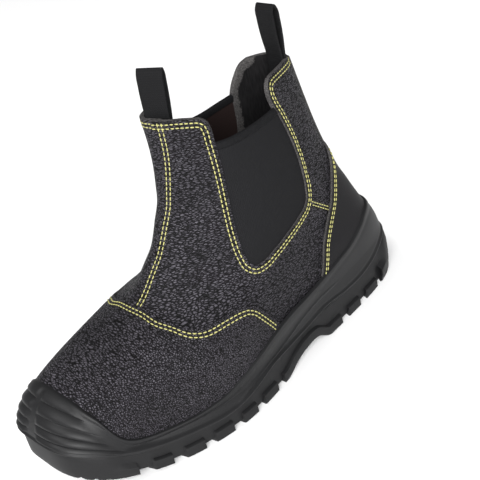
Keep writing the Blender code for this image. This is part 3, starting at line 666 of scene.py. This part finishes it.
def elastic(name, dark, light):
    """Ribbed elastic: fine upright cords crossed by a tight weave."""
    m = Finish(name)
    u = m.axis("X", "UV")
    v = m.axis("Y", "UV")
    ribs = (u * (2 * math.pi * 62)).wave() * 0.5 + 0.5
    weave = (v * (2 * math.pi * 90)).wave() * 0.5 + 0.5
    fuzz = m.noise(m.place(), 1500.0, 3.0)
    m.bump(ribs * 0.7 + weave * 0.3 + fuzz * 0.4, 0.45, 0.25)
    tone = (ribs * 0.35 + weave * 0.2 + fuzz * 0.6).within(0.0, 1.0)
    return m.set(Base_Color=m.mix(tone, dark, light), Roughness=0.9, Specular_IOR_Level=0.1)


def webbing(name, dark, light):
    """Woven tape: slanting ribs across the width."""
    m = Finish(name)
    u = m.axis("X", "UV")
    v = m.axis("Y", "UV")
    warp = (u * (2 * math.pi * 14)).wave()
    weft = (v * (2 * math.pi * 70) + warp * 1.2).wave() * 0.5 + 0.5
    fuzz = m.noise(m.place(), 1600.0, 3.0)
    m.bump(weft * 0.7 + warp * 0.25 + fuzz * 0.3, 0.6, 0.3)
    tone = (weft * 0.4 + fuzz * 0.6).within(0.0, 1.0)
    return m.set(Base_Color=m.mix(tone, dark, light), Roughness=0.8, Specular_IOR_Level=0.10)


def thread(name):
    """Pale yellow sewing thread with twisted plies."""
    m = Finish(name)
    ply = m.noise(m.place(), 2600.0, 2.0)
    m.bump(ply, 0.4, 0.15)
    colour = m.mix(ply, (0.22, 0.205, 0.045), (0.48, 0.46, 0.20))
    return m.set(Base_Color=colour, Roughness=0.55, Specular_IOR_Level=0.25)


def rubber(name, dark, light, rough):
    """Moulded sole rubber with a faint cast grain."""
    m = Finish(name)
    grain = m.noise(m.place(), 1400.0, 3.0)
    patch = m.noise(m.place(), 45.0, 3.0)
    m.bump(grain, 0.18, 0.15)
    colour = m.mix(patch, dark, light)
    return m.set(Base_Color=colour, Roughness=rough + patch * 0.14, Specular_IOR_Level=0.22)


def plain(name, colour, rough):
    """Even finish with a faint fine grain."""
    m = Finish(name)
    grain = m.noise(m.place(), 900.0, 2.0)
    m.bump(grain, 0.3, 0.2)
    return m.set(Base_Color=(*colour, 1), Roughness=rough, Specular_IOR_Level=0.2)


# painted shade: near-black colour for the grain's gaps, standing in for the shade down in them
GRAIN_GAP_SHADE = (0.0008, 0.0007, 0.0009)
finishes = {
    "shaft": leather("shaft_leather", (0.68, 0.68, 2.1), 510.0, GRAIN_GAP_SHADE, (0.094, 0.088, 0.103)),
    "vamp": leather("vamp_leather", (0.62, 1.5, 1.9), 540.0, GRAIN_GAP_SHADE, (0.100, 0.093, 0.109)),
    "counter": smooth_leather("counter_leather_smooth"),
    "felt": raw_edge("felt_edge"),
    "lining": lining("collar_lining"),
    "elastic": elastic("elastic_outside", (0.005, 0.005, 0.0055), (0.011, 0.011, 0.012)),
    "elastic_inside": elastic("elastic_inside", (0.008, 0.0048, 0.0045), (0.022, 0.0135, 0.0125)),
    "binding": webbing("gore_binding", (0.004, 0.004, 0.0045), (0.009, 0.009, 0.010)),
    "webbing": webbing("tape_webbing", (0.003, 0.003, 0.0033), (0.009, 0.009, 0.0097)),
    "thread": thread("seam_thread"),
    "sole": rubber("sole_rubber_moulded", (0.006, 0.006, 0.0064), (0.010, 0.010, 0.0107), 0.42),
    "tread": rubber("tread_rubber_moulded", (0.005, 0.005, 0.0054), (0.008, 0.008, 0.0086), 0.50),
    "footbed": plain("footbed_cloth", (0.016, 0.015, 0.015), 0.95),
    "floor": plain("pale_floor", (0.92, 0.92, 0.92), 0.60),
}


# paths on the upper


def gore_path(side, first, last, count):
    """Angle and ring of points along the gore's edge between two points of its table."""
    edge = np.concatenate([GORE_FRONT, GORE_FOOT, GORE_REAR[side]])
    run = np.concatenate([[0], np.cumsum(np.linalg.norm(np.diff(edge, axis=0), axis=1))])
    at = np.linspace(run[first], run[last], count)
    theta, t = ring_at_side_point(smooth(run, edge[:, 0], at), smooth(run, edge[:, 1], at), side)
    ends = np.minimum(at, run[-1] - at)
    return theta, np.where(ends < 0.01, TOP, t)


def quarter_foot(theta):
    """Ring at which the quarter ends, hidden under the vamp in front and in the sole behind."""
    edge = smooth(VAMP_EDGE[:, 0], VAMP_EDGE[:, 1], share(theta))
    under_vamp = np.where(share(theta) < VAMP_EDGE[-1, 0], ring_at_height(theta, edge) - 0.6, 0)
    return np.maximum(under_vamp, ring_at_height(theta, lip_height(theta) - 4.0))


def quarter_frame(side, counts):
    """Angle and ring of matching points on a quarter's inner and outer border."""
    marks = (0, *GORE_CORNERS, -1)
    inner = [gore_path(side, marks[i], marks[i + 1], counts[i]) for i in range(3)]
    front_x = LAP_EDGE if side > 0 else LAP_EDGE + LAP_TUCK
    foot = 5.0
    for _ in range(6):
        foot = float(quarter_foot(angle_at_width(front_x, np.array([foot])))[0])
    down = counts[0] * 3 // 4
    t = np.linspace(TOP, foot, down)
    seam = angle_at_width(front_x, t), t
    turn = side * 0.80 * math.pi
    ahead = counts[0] - down
    steps = np.concatenate([np.linspace(0, 0.34, ahead + 1)[1:], np.linspace(0.34, 1, counts[1])])
    theta = spaced_angles(seam[0][-1], turn, steps)
    bottom = theta, quarter_foot(theta)
    back = counts[2] * 2 // 5
    behind = np.full(counts[2] - back, side * math.pi)
    theta = np.concatenate([np.linspace(turn, side * math.pi, back), behind])
    low = quarter_foot(theta)
    climb = np.concatenate([np.zeros(back), np.linspace(0, 1, counts[2] - back + 1)[1:]])
    heel = theta, low + (TOP - low) * climb
    inner = np.concatenate([np.stack(part) for part in inner], axis=1)
    outer = np.concatenate([np.stack(part) for part in (seam, bottom, heel)], axis=1)
    keep = np.ones(sum(counts), bool)
    keep[[counts[0], counts[0] + counts[1]]] = False
    return inner[:, keep], outer[:, keep]


def shift(theta, t, distance):
    """A path on the upper moved to the left of its run, seen from outside."""
    run = np.gradient(upper_point(theta, t), axis=0)
    run = run / np.linalg.norm(run, axis=1, keepdims=True)
    left = np.cross(upper_normal(theta, t), run) * distance
    around, upward = slopes(theta, t)
    aa = np.sum(around * around, axis=1)
    ab = np.sum(around * upward, axis=1)
    bb = np.sum(upward * upward, axis=1)
    la = np.sum(left * around, axis=1)
    lb = np.sum(left * upward, axis=1)
    area = aa * bb - ab * ab
    return theta + (la * bb - lb * ab) / area, np.clip(t + (lb * aa - la * ab) / area, 0, TOP)


def inner_lift(points):
    """Rise of the inner quarter's face over the upper's form."""
    return creases(points)


def outer_lift(points):
    """Rise of the outer quarter's face, with its lap over the inner one down the front."""
    lap = (1 - ease(7.0, 18.0, points[..., 0] - LAP_EDGE)) * (1 - ease(-5, 20, points[..., 1]))
    return creases(points) + LAP_LIFT * lap


def vamp_lift(points):
    """Rise of the vamp's face, a little more where it crosses the lap."""
    lap = (1 - ease(5.0, 26.0, np.abs(points[..., 0] - 1.0))) * ease(-90.0, -66.0, points[..., 1])
    return OVERLAY_RISE + creases(points) + 0.7 * lap


def counter_lift(points):
    """Rise of the counter's face."""
    return np.full(points.shape[:-1], OVERLAY_RISE + 0.3)


# pieces


def make_quarter(name, side):
    """One half of the shaft: leather from the gore's edge to both seams, felt-edged and lined."""
    inner, outer = quarter_frame(side, (64, 60, 76))
    if side > 0:
        inner, outer = inner[:, ::-1], outer[:, ::-1]
    steps = np.linspace(0, 1, inner.shape[1])

    def place(u, v):
        reach = v ** 1.25
        ends = [np.interp(u, steps, row) for row in (*inner, *outer)]
        theta = ends[0] + (ends[2] - ends[0]) * reach
        t = ends[1] + (ends[3] - ends[1]) * reach
        points = upper_point(theta, t)
        rim = upper_point(ends[0], ends[1])
        off = np.linalg.norm(points - rim, axis=1)
        rows = dent(off - GORE_ROWS[0], 1.2) + dent(off - GORE_ROWS[1], 1.2)
        lift = outer_lift if side > 0 else inner_lift
        rise = lift(points) - 0.25 * rows
        faces.append(upper_face(theta, t, rise))
        faces.append(upper_face(theta, t, rise - LEATHER_WALL))
        return faces[0]

    faces = []
    obj = grid(name, inner.shape[1] - 1, 44, place)
    give(obj, "shaft", "lining", "felt")
    thicken(obj, LEATHER_WALL, 1, 2, 0)
    straighten_wall(obj, *faces)
    round_edges(obj, 0.35, 50)
    mark_felt(obj, upper_point(*inner))
    finish_piece(obj, "upper")


def make_vamp():
    """Vamp over the toe box, from under the sole's lip to its waved cut edge."""
    end = math.acos(1 - 2 * VAMP_EDGE[-1, 0])

    def place(u, v):
        theta = spaced_angles(-end, end, u)
        low = ring_at_height(theta, lip_height(theta) - 3.0)
        edge = ring_at_height(theta, smooth(VAMP_EDGE[:, 0], VAMP_EDGE[:, 1], share(theta)))
        t = low + (np.maximum(edge, low + 0.02) - low) * v
        points = upper_point(theta, t)
        off = np.linalg.norm(points - upper_point(theta, np.maximum(edge, low)), axis=1)
        rows = dent(off - VAMP_ROWS[0], 1.1) + dent(off - VAMP_ROWS[1], 1.1)
        return upper_face(theta, t, vamp_lift(points) - 0.2 * rows)

    obj = grid("vamp_leather", 190, 80, place)
    give(obj, "vamp", "lining", "felt")
    thicken(obj, OVERLAY_WALL, 1, 2)
    finish_piece(obj, "vamp")


def make_counter():
    """Smooth heel counter round the back, from inside the heel cup to its raised front edge."""
    start = math.acos(1 - 2 * COUNTER_EDGE[0, 0])

    def place(u, v):
        theta = spaced_angles(start, 2 * math.pi - start, u)
        low = ring_at_height(theta, lip_height(theta) - 3.0)
        edge = ring_at_height(theta, smooth(COUNTER_EDGE[:, 0], COUNTER_EDGE[:, 1], share(theta)))
        t = low + (np.maximum(edge, low + 0.02) - low) * v
        points = upper_point(theta, t)
        off = np.linalg.norm(points - upper_point(theta, np.maximum(edge, low)), axis=1)
        rows = dent(off - COUNTER_ROWS[0], 1.0) + dent(off - COUNTER_ROWS[1], 1.0)
        return upper_face(theta, t, counter_lift(points) - 0.25 * rows)

    obj = grid("counter_leather", 140, 56, place)
    give(obj, "counter", "lining", "felt")
    thicken(obj, OVERLAY_WALL, 1, 2)
    finish_piece(obj, "heel_counter")


def make_backstay():
    """Narrow strip over the back seam."""

    def place(u, v):
        theta = math.pi + (2 * u - 1) * BACKSTAY_HALF_ANGLE
        z = BACKSTAY_SPAN[0] + (BACKSTAY_SPAN[1] - BACKSTAY_SPAN[0]) * v
        return upper_face(theta, ring_at_height(theta, z), 1.5)

    obj = grid("backstay_strip", 24, 60, place)
    give(obj, "counter", "lining", "felt")
    thicken(obj, 1.3, 1, 2)
    finish_piece(obj, "backstay")


def gore_frame(u, v, side):
    """Angle and ring on a gore at shares across and up, tucked under the leather at its edges."""
    front = GORE_FRONT[4:][::-1]
    rear = GORE_REAR[side][:6]
    foot = np.interp(4.0 + u * 66.0, GORE_FOOT[:, 0], GORE_FOOT[:, 1]) - GORE_TUCK
    z = foot + (GORE_TOP - foot) * v
    ahead = np.interp(z, front[:, 1], front[:, 0]) - GORE_TUCK
    behind = np.interp(z, rear[:, 1], rear[:, 0]) + GORE_TUCK
    return ring_at_side_point(ahead + (behind - ahead) * u, z, side)


def make_gore(name, node, side):
    """Elastic side panel set back behind the leather's edge, with a bound top."""

    def place(u, v):
        across = u if side > 0 else 1 - u
        theta, t = gore_frame(across, v, side)
        hollow = 0.7 * np.sin(math.pi * u) * np.sin(math.pi * v)
        return upper_face(theta, t, -GORE_DEPTH - hollow)

    obj = grid(name, 64, 72, place)
    give(obj, "elastic", "elastic_inside", "binding")
    thicken(obj, GORE_WALL, 1, 2, 0)
    finish_piece(obj, node)

    profile = np.array([
        (0.35, -4.2), (0.75, -3.6), (0.75, 0.0), (0.3, 0.7), (-0.6, 0.9), (-1.5, 0.7), (-1.95, 0.0),
        (-1.95, -3.6), (-1.55, -4.2),
    ])
    shares = np.linspace(0, 1, len(profile))

    def wrap(u, v):
        across = u if side > 0 else 1 - u
        theta = gore_frame(across, np.ones(u.shape), side)[0]
        out = np.interp(v, shares, profile[:, 0])
        rise = np.interp(v, shares, profile[:, 1])
        foot = ring_at_height(theta, GORE_TOP + np.minimum(rise, 0))
        points = upper_face(theta, foot, out - GORE_DEPTH)
        points[:, 2] += np.maximum(rise, 0)
        return points

    band = grid(name + "_binding", 48, 24, wrap)
    give(band, "binding")
    close_up(band, True)
    finish_piece(band, node)


def make_loop(name, node, at, turn, lean, belly, twist):
    """Pull loop of folded tape, its legs inside the collar."""
    leg, swell, rise = LOOP_PATH.T
    path = np.column_stack([swell * belly - leg * LEG_SPACING, rise])
    run = np.concatenate([[0], np.cumsum(np.linalg.norm(np.diff(path, axis=0), axis=1))])

    def place(u, v):
        out = smooth(run, path[:, 0], v * run[-1])
        up = smooth(run, path[:, 1], v * run[-1])
        tilt = math.radians(lean)
        across = (0.5 - u) * TAPE_WIDTH * math.cos(tilt) + up * math.sin(tilt)
        rise = up * math.cos(tilt) - (0.5 - u) * TAPE_WIDTH * math.sin(tilt)
        angle = np.radians(turn + twist * ease(0.0, 30.0, up))
        x = across * np.cos(angle) + out * np.sin(angle)
        y = across * np.sin(angle) - out * np.cos(angle)
        return np.stack([x, y, rise], axis=1) + at

    obj = grid(name, 10, 110, place)
    give(obj, "webbing")
    apply(obj, "SOLIDIFY", thickness=TAPE_WALL * MM, offset=0)
    round_edges(obj, 0.4, 50)
    finish_piece(obj, node)


def stitch_row(theta, t, distance, lift):
    """Centres, runs and outward directions of the stitches along a path, on a piece that rises by lift."""
    theta, t = shift(theta, t, distance)
    points = upper_point(theta, t)
    run = np.concatenate([[0], np.cumsum(np.linalg.norm(np.diff(points, axis=0), axis=1))])
    at = np.arange(STITCH_PITCH / 2, run[-1], STITCH_PITCH)
    theta = np.interp(at, run, theta)
    t = np.interp(at, run, t)
    centre = upper_face(theta, t, lift(upper_point(theta, t)))
    ahead = np.stack([np.interp(at + 0.5, run, c) - np.interp(at - 0.5, run, c) for c in points.T], axis=1)
    return centre, ahead / np.linalg.norm(ahead, axis=1, keepdims=True), upper_normal(theta, t)


def make_stitches(name, rows):
    """Every stitch of these rows as one mesh, each a copy of one small rounded thread."""
    bpy.ops.object.select_all(action="DESELECT")
    bpy.ops.mesh.primitive_uv_sphere_add(segments=6, ring_count=6, radius=0.5)
    one = bpy.context.object
    shape = np.array([v.co[:] for v in one.data.vertices])
    cells = [tuple(p.vertices) for p in one.data.polygons]
    bpy.data.objects.remove(one)
    points, faces = [], []
    for centre, ahead, out in rows:
        side = np.cross(ahead, out)
        for c, a, o, s in zip(centre, ahead, out, side):
            base = len(points) * len(shape)
            stretch = shape * (STITCH_WIDTH, STITCH_WIDTH * 0.8, STITCH_LENGTH)
            points.append(c + stretch[:, :1] * s + stretch[:, 1:2] * o + stretch[:, 2:] * a)
            faces += [tuple(base + i for i in cell) for cell in cells]
    obj = joined(name, np.concatenate(points), faces)
    give(obj, "thread")
    finish_piece(obj, None, 80)


def quarter_rows(side):
    """Stitch rows along a quarter's collar and gore edge."""
    theta, t = gore_path(side, 0, -1, 400)
    seam = angle_at_width(LAP_EDGE, np.array([float(TOP)]))[0]
    front = np.linspace(seam, theta[0], 60)[:-1]
    back = np.linspace(theta[-1], side * (math.pi - BACKSTAY_HALF_ANGLE), 40)[1:]
    theta = np.concatenate([front, theta, back])
    t = np.concatenate([np.full(len(front), TOP), t, np.full(len(back), TOP)])
    return [stitch_row(theta, t, -side * d, outer_lift if side > 0 else inner_lift) for d in GORE_ROWS]


def seam_rows():
    """Double row down the front where the outer quarter laps over the inner one."""
    low = float(ring_at_height(np.array([0.0]), VAMP_EDGE[0, 1])[0])
    t = np.linspace(TOP - 0.05, low, 300)
    return [stitch_row(angle_at_width(LAP_EDGE + d, t), t, 0.0, outer_lift) for d in SEAM_ROWS]


def edge_rows(table, first, last, distances, lift):
    """Rows inside the edge of the vamp or the counter."""
    theta = spaced_angles(first, last, np.linspace(0, 1, 500))
    t = ring_at_height(theta, smooth(table[:, 0], table[:, 1], share(theta)))
    return [stitch_row(theta, t, -d, lift) for d in distances]


def bar_rows():
    """Short double row that joins the gore's rear corner to the counter."""
    rows = []
    for side in (1, -1):
        for drop in (0.0, 2.6):
            y = np.linspace(71.5, 90.0, 30)
            theta, t = ring_at_side_point(y, 96.0 - (y - 74.0) * 0.80 - drop, side)
            rows.append(stitch_row(theta, t, 0.0, inner_lift))
    return rows


def side_relief(theta, climb, z, ledge):
    """How far the sole's side stands out: bead, waist ridge, rolled lip and the toe bumper's ribs."""
    along = share(theta)
    plan = sole_plan(theta, 0.0)
    up = z - ledge
    down = lip_height(theta) - z
    roll = smooth(LIP_ROLL[:, 0], LIP_ROLL[:, 1], along)
    bead = BEAD_RISE * dent(up - BEAD_AT, BEAD_AT) - 0.4 * dent(up - 3.2 * BEAD_AT, BEAD_AT)
    lip = 0.6 * dent(down - roll, 0.8 * roll) - 0.3 * dent(down - 2.4 * roll, 0.7 * roll)
    near_waist = ease(-46.0, -36.0, plan[:, 1]) * ease(86.0, 68.0, plan[:, 1])
    ridge_z = smooth(RIDGE_LINE[:, 0], RIDGE_LINE[:, 1], plan[:, 1])
    ridge = RIDGE_RISE * dent(z - ridge_z, RIDGE_WIDTH) * near_waist
    first, step = BUMPER_RIBS
    ribs = np.abs(np.sin(math.pi * (climb - first) / step)) ** 0.5 - 0.5
    ribs = 2 * BUMPER_RELIEF * ribs * ease(0.08, 0.14, climb) * ease(0.98, 0.92, climb)
    end = BUMPER_END[0] - BUMPER_END[1] * climb
    in_front = (1 - ease(0.7 * end, end, along)) * ease(0.06, 0.12, climb)
    off_centre = ease(*BUMPER_STRIP, np.abs(plan[:, 0] - SOLE_SWING))
    return (bead + lip + ridge) * (1 - in_front) + ribs * in_front * off_centre


def wall_point(theta, climb):
    """Outside of the midsole, from its ledge at 0 to its lip at 1."""
    foot = upper_point(theta, 0.0)
    outward = sole_plan(theta, 0.0) - foot[:, :2]
    unit = outward / np.linalg.norm(outward, axis=1, keepdims=True)
    edge = foot[:, :2] + outward + unit
    ledge = sole_height("ledge", edge[:, 1]) + 0.2
    z = ledge + (lip_height(theta) - ledge) * climb
    t = np.where(z > foot[:, 2], ring_at_height(theta, z), 0)
    near = upper_face(theta, t, LIP_WIDTH * climb - LIP_ROUND * ease(0.93, 1.0, climb) ** 2)
    relief = side_relief(theta, climb, z, ledge)
    xy = near[:, :2] + outward * ((1 - climb) ** 1.4)[:, None] + unit * relief[:, None]
    return np.column_stack([xy, np.where(z > foot[:, 2], near[:, 2], z)])


def make_midsole():
    """Moulded midsole: ribbed toe bumper, side wall with beads, heel cup, and the socket round the upper."""
    wall_part = 0.86

    def place(u, v):
        theta = spaced_angles(0, 2 * math.pi, u)
        climb = np.clip(v / wall_part, 0, 1)
        outside = wall_point(theta, climb)
        sunk = np.clip((v - wall_part) / (1 - wall_part), 0, 1)
        t = ring_at_height(theta, lip_height(theta)) * (1 - sunk)
        socket = upper_face(theta, t, 0.45 * (1 - sunk))
        return np.where((v <= wall_part + 1e-6)[:, None], outside, socket)

    obj = grid("midsole_wall", 300, 100, place)
    give(obj, "sole")
    close_up(obj, True)
    finish_piece(obj, "midsole", 60)


def tread_block(theta, reach, turn):
    """Rings of one tread block, from the wall above it to its chamfered foot."""
    def outline(grow, draw_in):
        ring = np.concatenate([sole_plan(theta, grow), inner_edge(theta, reach, turn)])
        return ring + (ring.mean(axis=0) - ring) * draw_in

    rings = []
    for grow, draw_in, lift in ((-STEP_IN, 0, LUG_HEIGHT + 0.7), (LUG_PROUD, 0, LUG_HEIGHT - 0.4),
                                (LUG_PROUD, 0, LUG_CHAMFER), (-LUG_CHAMFER * 0.4, 0.05, 0.0)):
        plan = outline(grow, draw_in)
        rings.append(np.column_stack([plan, sole_height("tread", plan[:, 1]) + lift]))
    return rings


def inner_edge(theta, reach, turn):
    """Inner side of a tread block, from its last point back to its first."""
    inward = np.stack([-np.sign(np.sin(theta)) * np.cos(turn), -np.sin(turn)], axis=1)
    return (sole_plan(theta, 0.0) + inward * reach[:, None])[::-1]


def end_block(theta, reach, turn, bulge, fade):
    """Rings of the block round the toe or the heel, whose side runs up to the ledge except at its ends."""
    inner = inner_edge(theta, reach, turn)
    inner_tread = sole_height("tread", inner[:, 1])
    rings = []
    levels = [(1.0, -0.3), (0.93, 0.4 * bulge), (0.25, 0.8 * bulge)]
    levels[2:2] = [(up, bulge) for up in (0.72, 0.56, 0.42)]
    for up, grow in levels:
        flush = fade if up > 0.5 else 1.0
        proud = (up < 0.5) * (1 - fade) * LUG_PROUD
        outer = sole_plan(theta, flush * grow + (1 - flush) * (-STEP_IN - 0.3) + proud)
        tread = sole_height("tread", outer[:, 1])
        high = tread + (sole_height("ledge", outer[:, 1]) - tread) * up
        inner_high = inner_tread + LUG_HEIGHT * min(up + 0.1, 1.0)
        rings.append(np.column_stack([np.concatenate([outer, inner]), np.concatenate([high, inner_high])]))
    for grow, lift in ((0.4 * bulge, LUG_CHAMFER), (-0.8, 0.0)):
        outer = sole_plan(theta, grow)
        notch = sum(dent(outer[:, 1] - y, 0.9) for y in TOE_NOTCHES)
        high = sole_height("tread", outer[:, 1]) + lift + 1.4 * notch
        inner_high = inner_tread + lift
        rings.append(np.column_stack([np.concatenate([outer, inner]), np.concatenate([high, inner_high])]))
    return rings


def chevron_block(y):
    """Rings of one V-shaped block in the middle of the tread."""
    flat = np.array([(-CHEVRON_ARM, 0), (0, -CHEVRON_DROP), (CHEVRON_ARM, 0), (CHEVRON_ARM, CHEVRON_THICK),
                     (0, CHEVRON_THICK - CHEVRON_DROP), (-CHEVRON_ARM, CHEVRON_THICK)])
    rings = []
    for draw_in, lift in ((1.0, TREAD_DEPTH + 0.6), (1.0, LUG_CHAMFER), (0.90, 0.3)):
        plan = (flat - flat.mean(axis=0)) * draw_in + (-1.0, y + CHEVRON_THICK / 2)
        rings.append(np.column_stack([plan, sole_height("tread", plan[:, 1]) + lift]))
    return rings


def tread_blocks():
    """All tread blocks: between the edge grooves on both sides, round toe and heel, and down the middle."""
    blocks = []
    y, width, reach, turn = EDGE_GROOVES.T

    def angle(at):
        return np.arccos(1 - 2 * (at - SOLE_FRONT) / (SOLE_BACK - SOLE_FRONT))

    for side in (1, -1):
        for k in range(len(y) - 1):
            count = 10 if y[k + 1] - y[k] < 40 else 40
            u = np.linspace(0, 1, count)
            theta = np.linspace(angle(y[k] + width[k] / 2), angle(y[k + 1] - width[k + 1] / 2), count) * side
            tilt = np.radians(turn[k] + (turn[k + 1] - turn[k]) * u)
            blocks.append(tread_block(theta, (reach[k] + (reach[k + 1] - reach[k]) * u) - 3.0, tilt))
    start = angle(y[0] - width[0] / 2)
    off = np.abs(np.linspace(-1, 1, 141))
    theta = np.linspace(-start, start, 141)
    tilt = np.radians(-90.0 + (90.0 + turn[0]) * off)
    blocks.append(end_block(theta, 14.0 + 7.0 * off, tilt, 0.3, 1 - ease(0.72, 0.97, off)))
    start = angle(y[-1] + width[-1] / 2)
    off = np.abs(np.linspace(-1, 1, 81))
    theta = np.linspace(start, 2 * math.pi - start, 81)
    tilt = np.radians(90.0 + (turn[-1] - 90.0) * off)
    blocks.append(end_block(theta, 14.0 + 4.0 * off, tilt, 1.8, 1 - ease(0.72, 0.97, off)))
    for at in CHEVRON_ROWS:
        blocks.append(chevron_block(at))
    return blocks


def make_outsole():
    """Outsole: recessed wall and base, with the tread blocks standing out and down from it."""
    levels = np.array([
        (-0.4, 1.0, 0.0), (-STEP_IN, 1.0, -1.2), (-STEP_IN, 0.5, 0.0), (-STEP_IN, 0.0, 3.2),
        (-STEP_IN - 0.8, 0.0, 2.8), (-STEP_IN - 9.0, 0.0, TREAD_DEPTH - 0.5),
    ])
    shares = np.linspace(0, 1, len(levels))

    def place(u, v):
        theta = spaced_angles(0, 2 * math.pi, u)
        grow, high, lift = (np.interp(v, shares, column) for column in levels.T)
        plan = sole_plan(theta, grow)
        tread = sole_height("tread", plan[:, 1])
        ledge = sole_height("ledge", plan[:, 1])
        return np.column_stack([plan, tread + (ledge - tread) * high + lift])

    obj = grid("outsole_base", 260, 5, place)
    give(obj, "tread")
    close_up(obj, True)
    finish_piece(obj, "outsole", 35)

    points, faces = [], []
    for rings in tread_blocks():
        base = sum(len(p) for p in points)
        count = len(rings[0])
        points += rings
        for r in range(len(rings) - 1):
            for c in range(count):
                d = (c + 1) % count
                row = base + r * count
                faces.append((row + c, row + d, row + count + d, row + count + c))
        faces.append(tuple(range(base, base + count)))
        faces.append(tuple(range(base + (len(rings) - 1) * count, base + len(rings) * count)))
    blocks = joined("outsole_lugs", np.concatenate(points), faces)
    give(blocks, "tread")
    close_up(blocks, False)
    round_edges(blocks, 0.5, 35)
    finish_piece(blocks, "outsole", 40)


make_quarter("quarter_outer", 1)
make_quarter("quarter_inner", -1)
make_vamp()
make_counter()
make_backstay()
make_gore("gore_outer_elastic", "gore_outer", 1)
make_gore("gore_inner_elastic", "gore_inner", -1)
make_loop("pull_loop_front_tape", "pull_loop_front", *FRONT_LOOP)
make_loop("pull_loop_back_tape", "pull_loop_back", *BACK_LOOP)
make_midsole()
make_outsole()
vamp_end = math.acos(1 - 2 * VAMP_ROWS_END)
counter_start = math.acos(1 - 2 * COUNTER_ROWS_START)
make_stitches("quarter_stitches", quarter_rows(1) + quarter_rows(-1) + seam_rows() + bar_rows())
make_stitches("vamp_stitches", edge_rows(VAMP_EDGE, -vamp_end, vamp_end, VAMP_ROWS, vamp_lift))
counter_end = 2 * math.pi - counter_start
counter_rows = edge_rows(COUNTER_EDGE, counter_start, counter_end, COUNTER_ROWS, counter_lift)
make_stitches("counter_stitches", counter_rows)

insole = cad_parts["insole"]
insole.data.materials.clear()
insole.data.materials.append(finishes["footbed"])

# floor, light and camera

bpy.ops.object.select_all(action="DESELECT")
bpy.ops.mesh.primitive_plane_add(size=8.0)
floor = bpy.context.object
floor.name = "floor"
give(floor, "floor")

world = bpy.data.worlds.new("pale_room")
bpy.context.scene.world = world
world.use_nodes = True
world.node_tree.nodes["Background"].inputs["Color"].default_value = (1.0, 1.0, 1.0, 1)
world.node_tree.nodes["Background"].inputs["Strength"].default_value = 0.24
bpy.context.scene.view_settings.view_transform = "Standard"


def add_light(name, at, to, size, power):
    """Soft square light that looks at a point."""
    data = bpy.data.lights.new(name, "AREA")
    data.size = size
    data.energy = power
    obj = bpy.data.objects.new(name, data)
    bpy.context.scene.collection.objects.link(obj)
    back = np.array(at) - np.array(to)
    back = back / np.linalg.norm(back)
    right = np.cross((0, 0, 1), back)
    right = right / np.linalg.norm(right)
    turn = Matrix([[*row] for row in np.column_stack([right, np.cross(back, right), back])]).to_4x4()
    obj.matrix_world = Matrix.Translation(at) @ turn


add_light("key", (4.35, -3.45, 2.90), (0, -0.02, 0.08), 5.0, 940.0)
add_light("sheen", (-0.55, -1.40, 2.20), (0, -0.02, 0.08), 1.3, 36.0)

lens = bpy.data.cameras.new("camera")
lens.sensor_width = 36.0
lens.lens = CAMERA_LENS
camera = bpy.data.objects.new("camera", lens)
bpy.context.scene.collection.objects.link(camera)
turn = Matrix([[*row] for row in np.column_stack([CAMERA_RIGHT, CAMERA_UP, CAMERA_BACK])]).to_4x4()
camera.matrix_world = Matrix.Translation((CAMERA_AT - CENTRE_AT) * MM) @ turn
bpy.context.scene.camera = camera
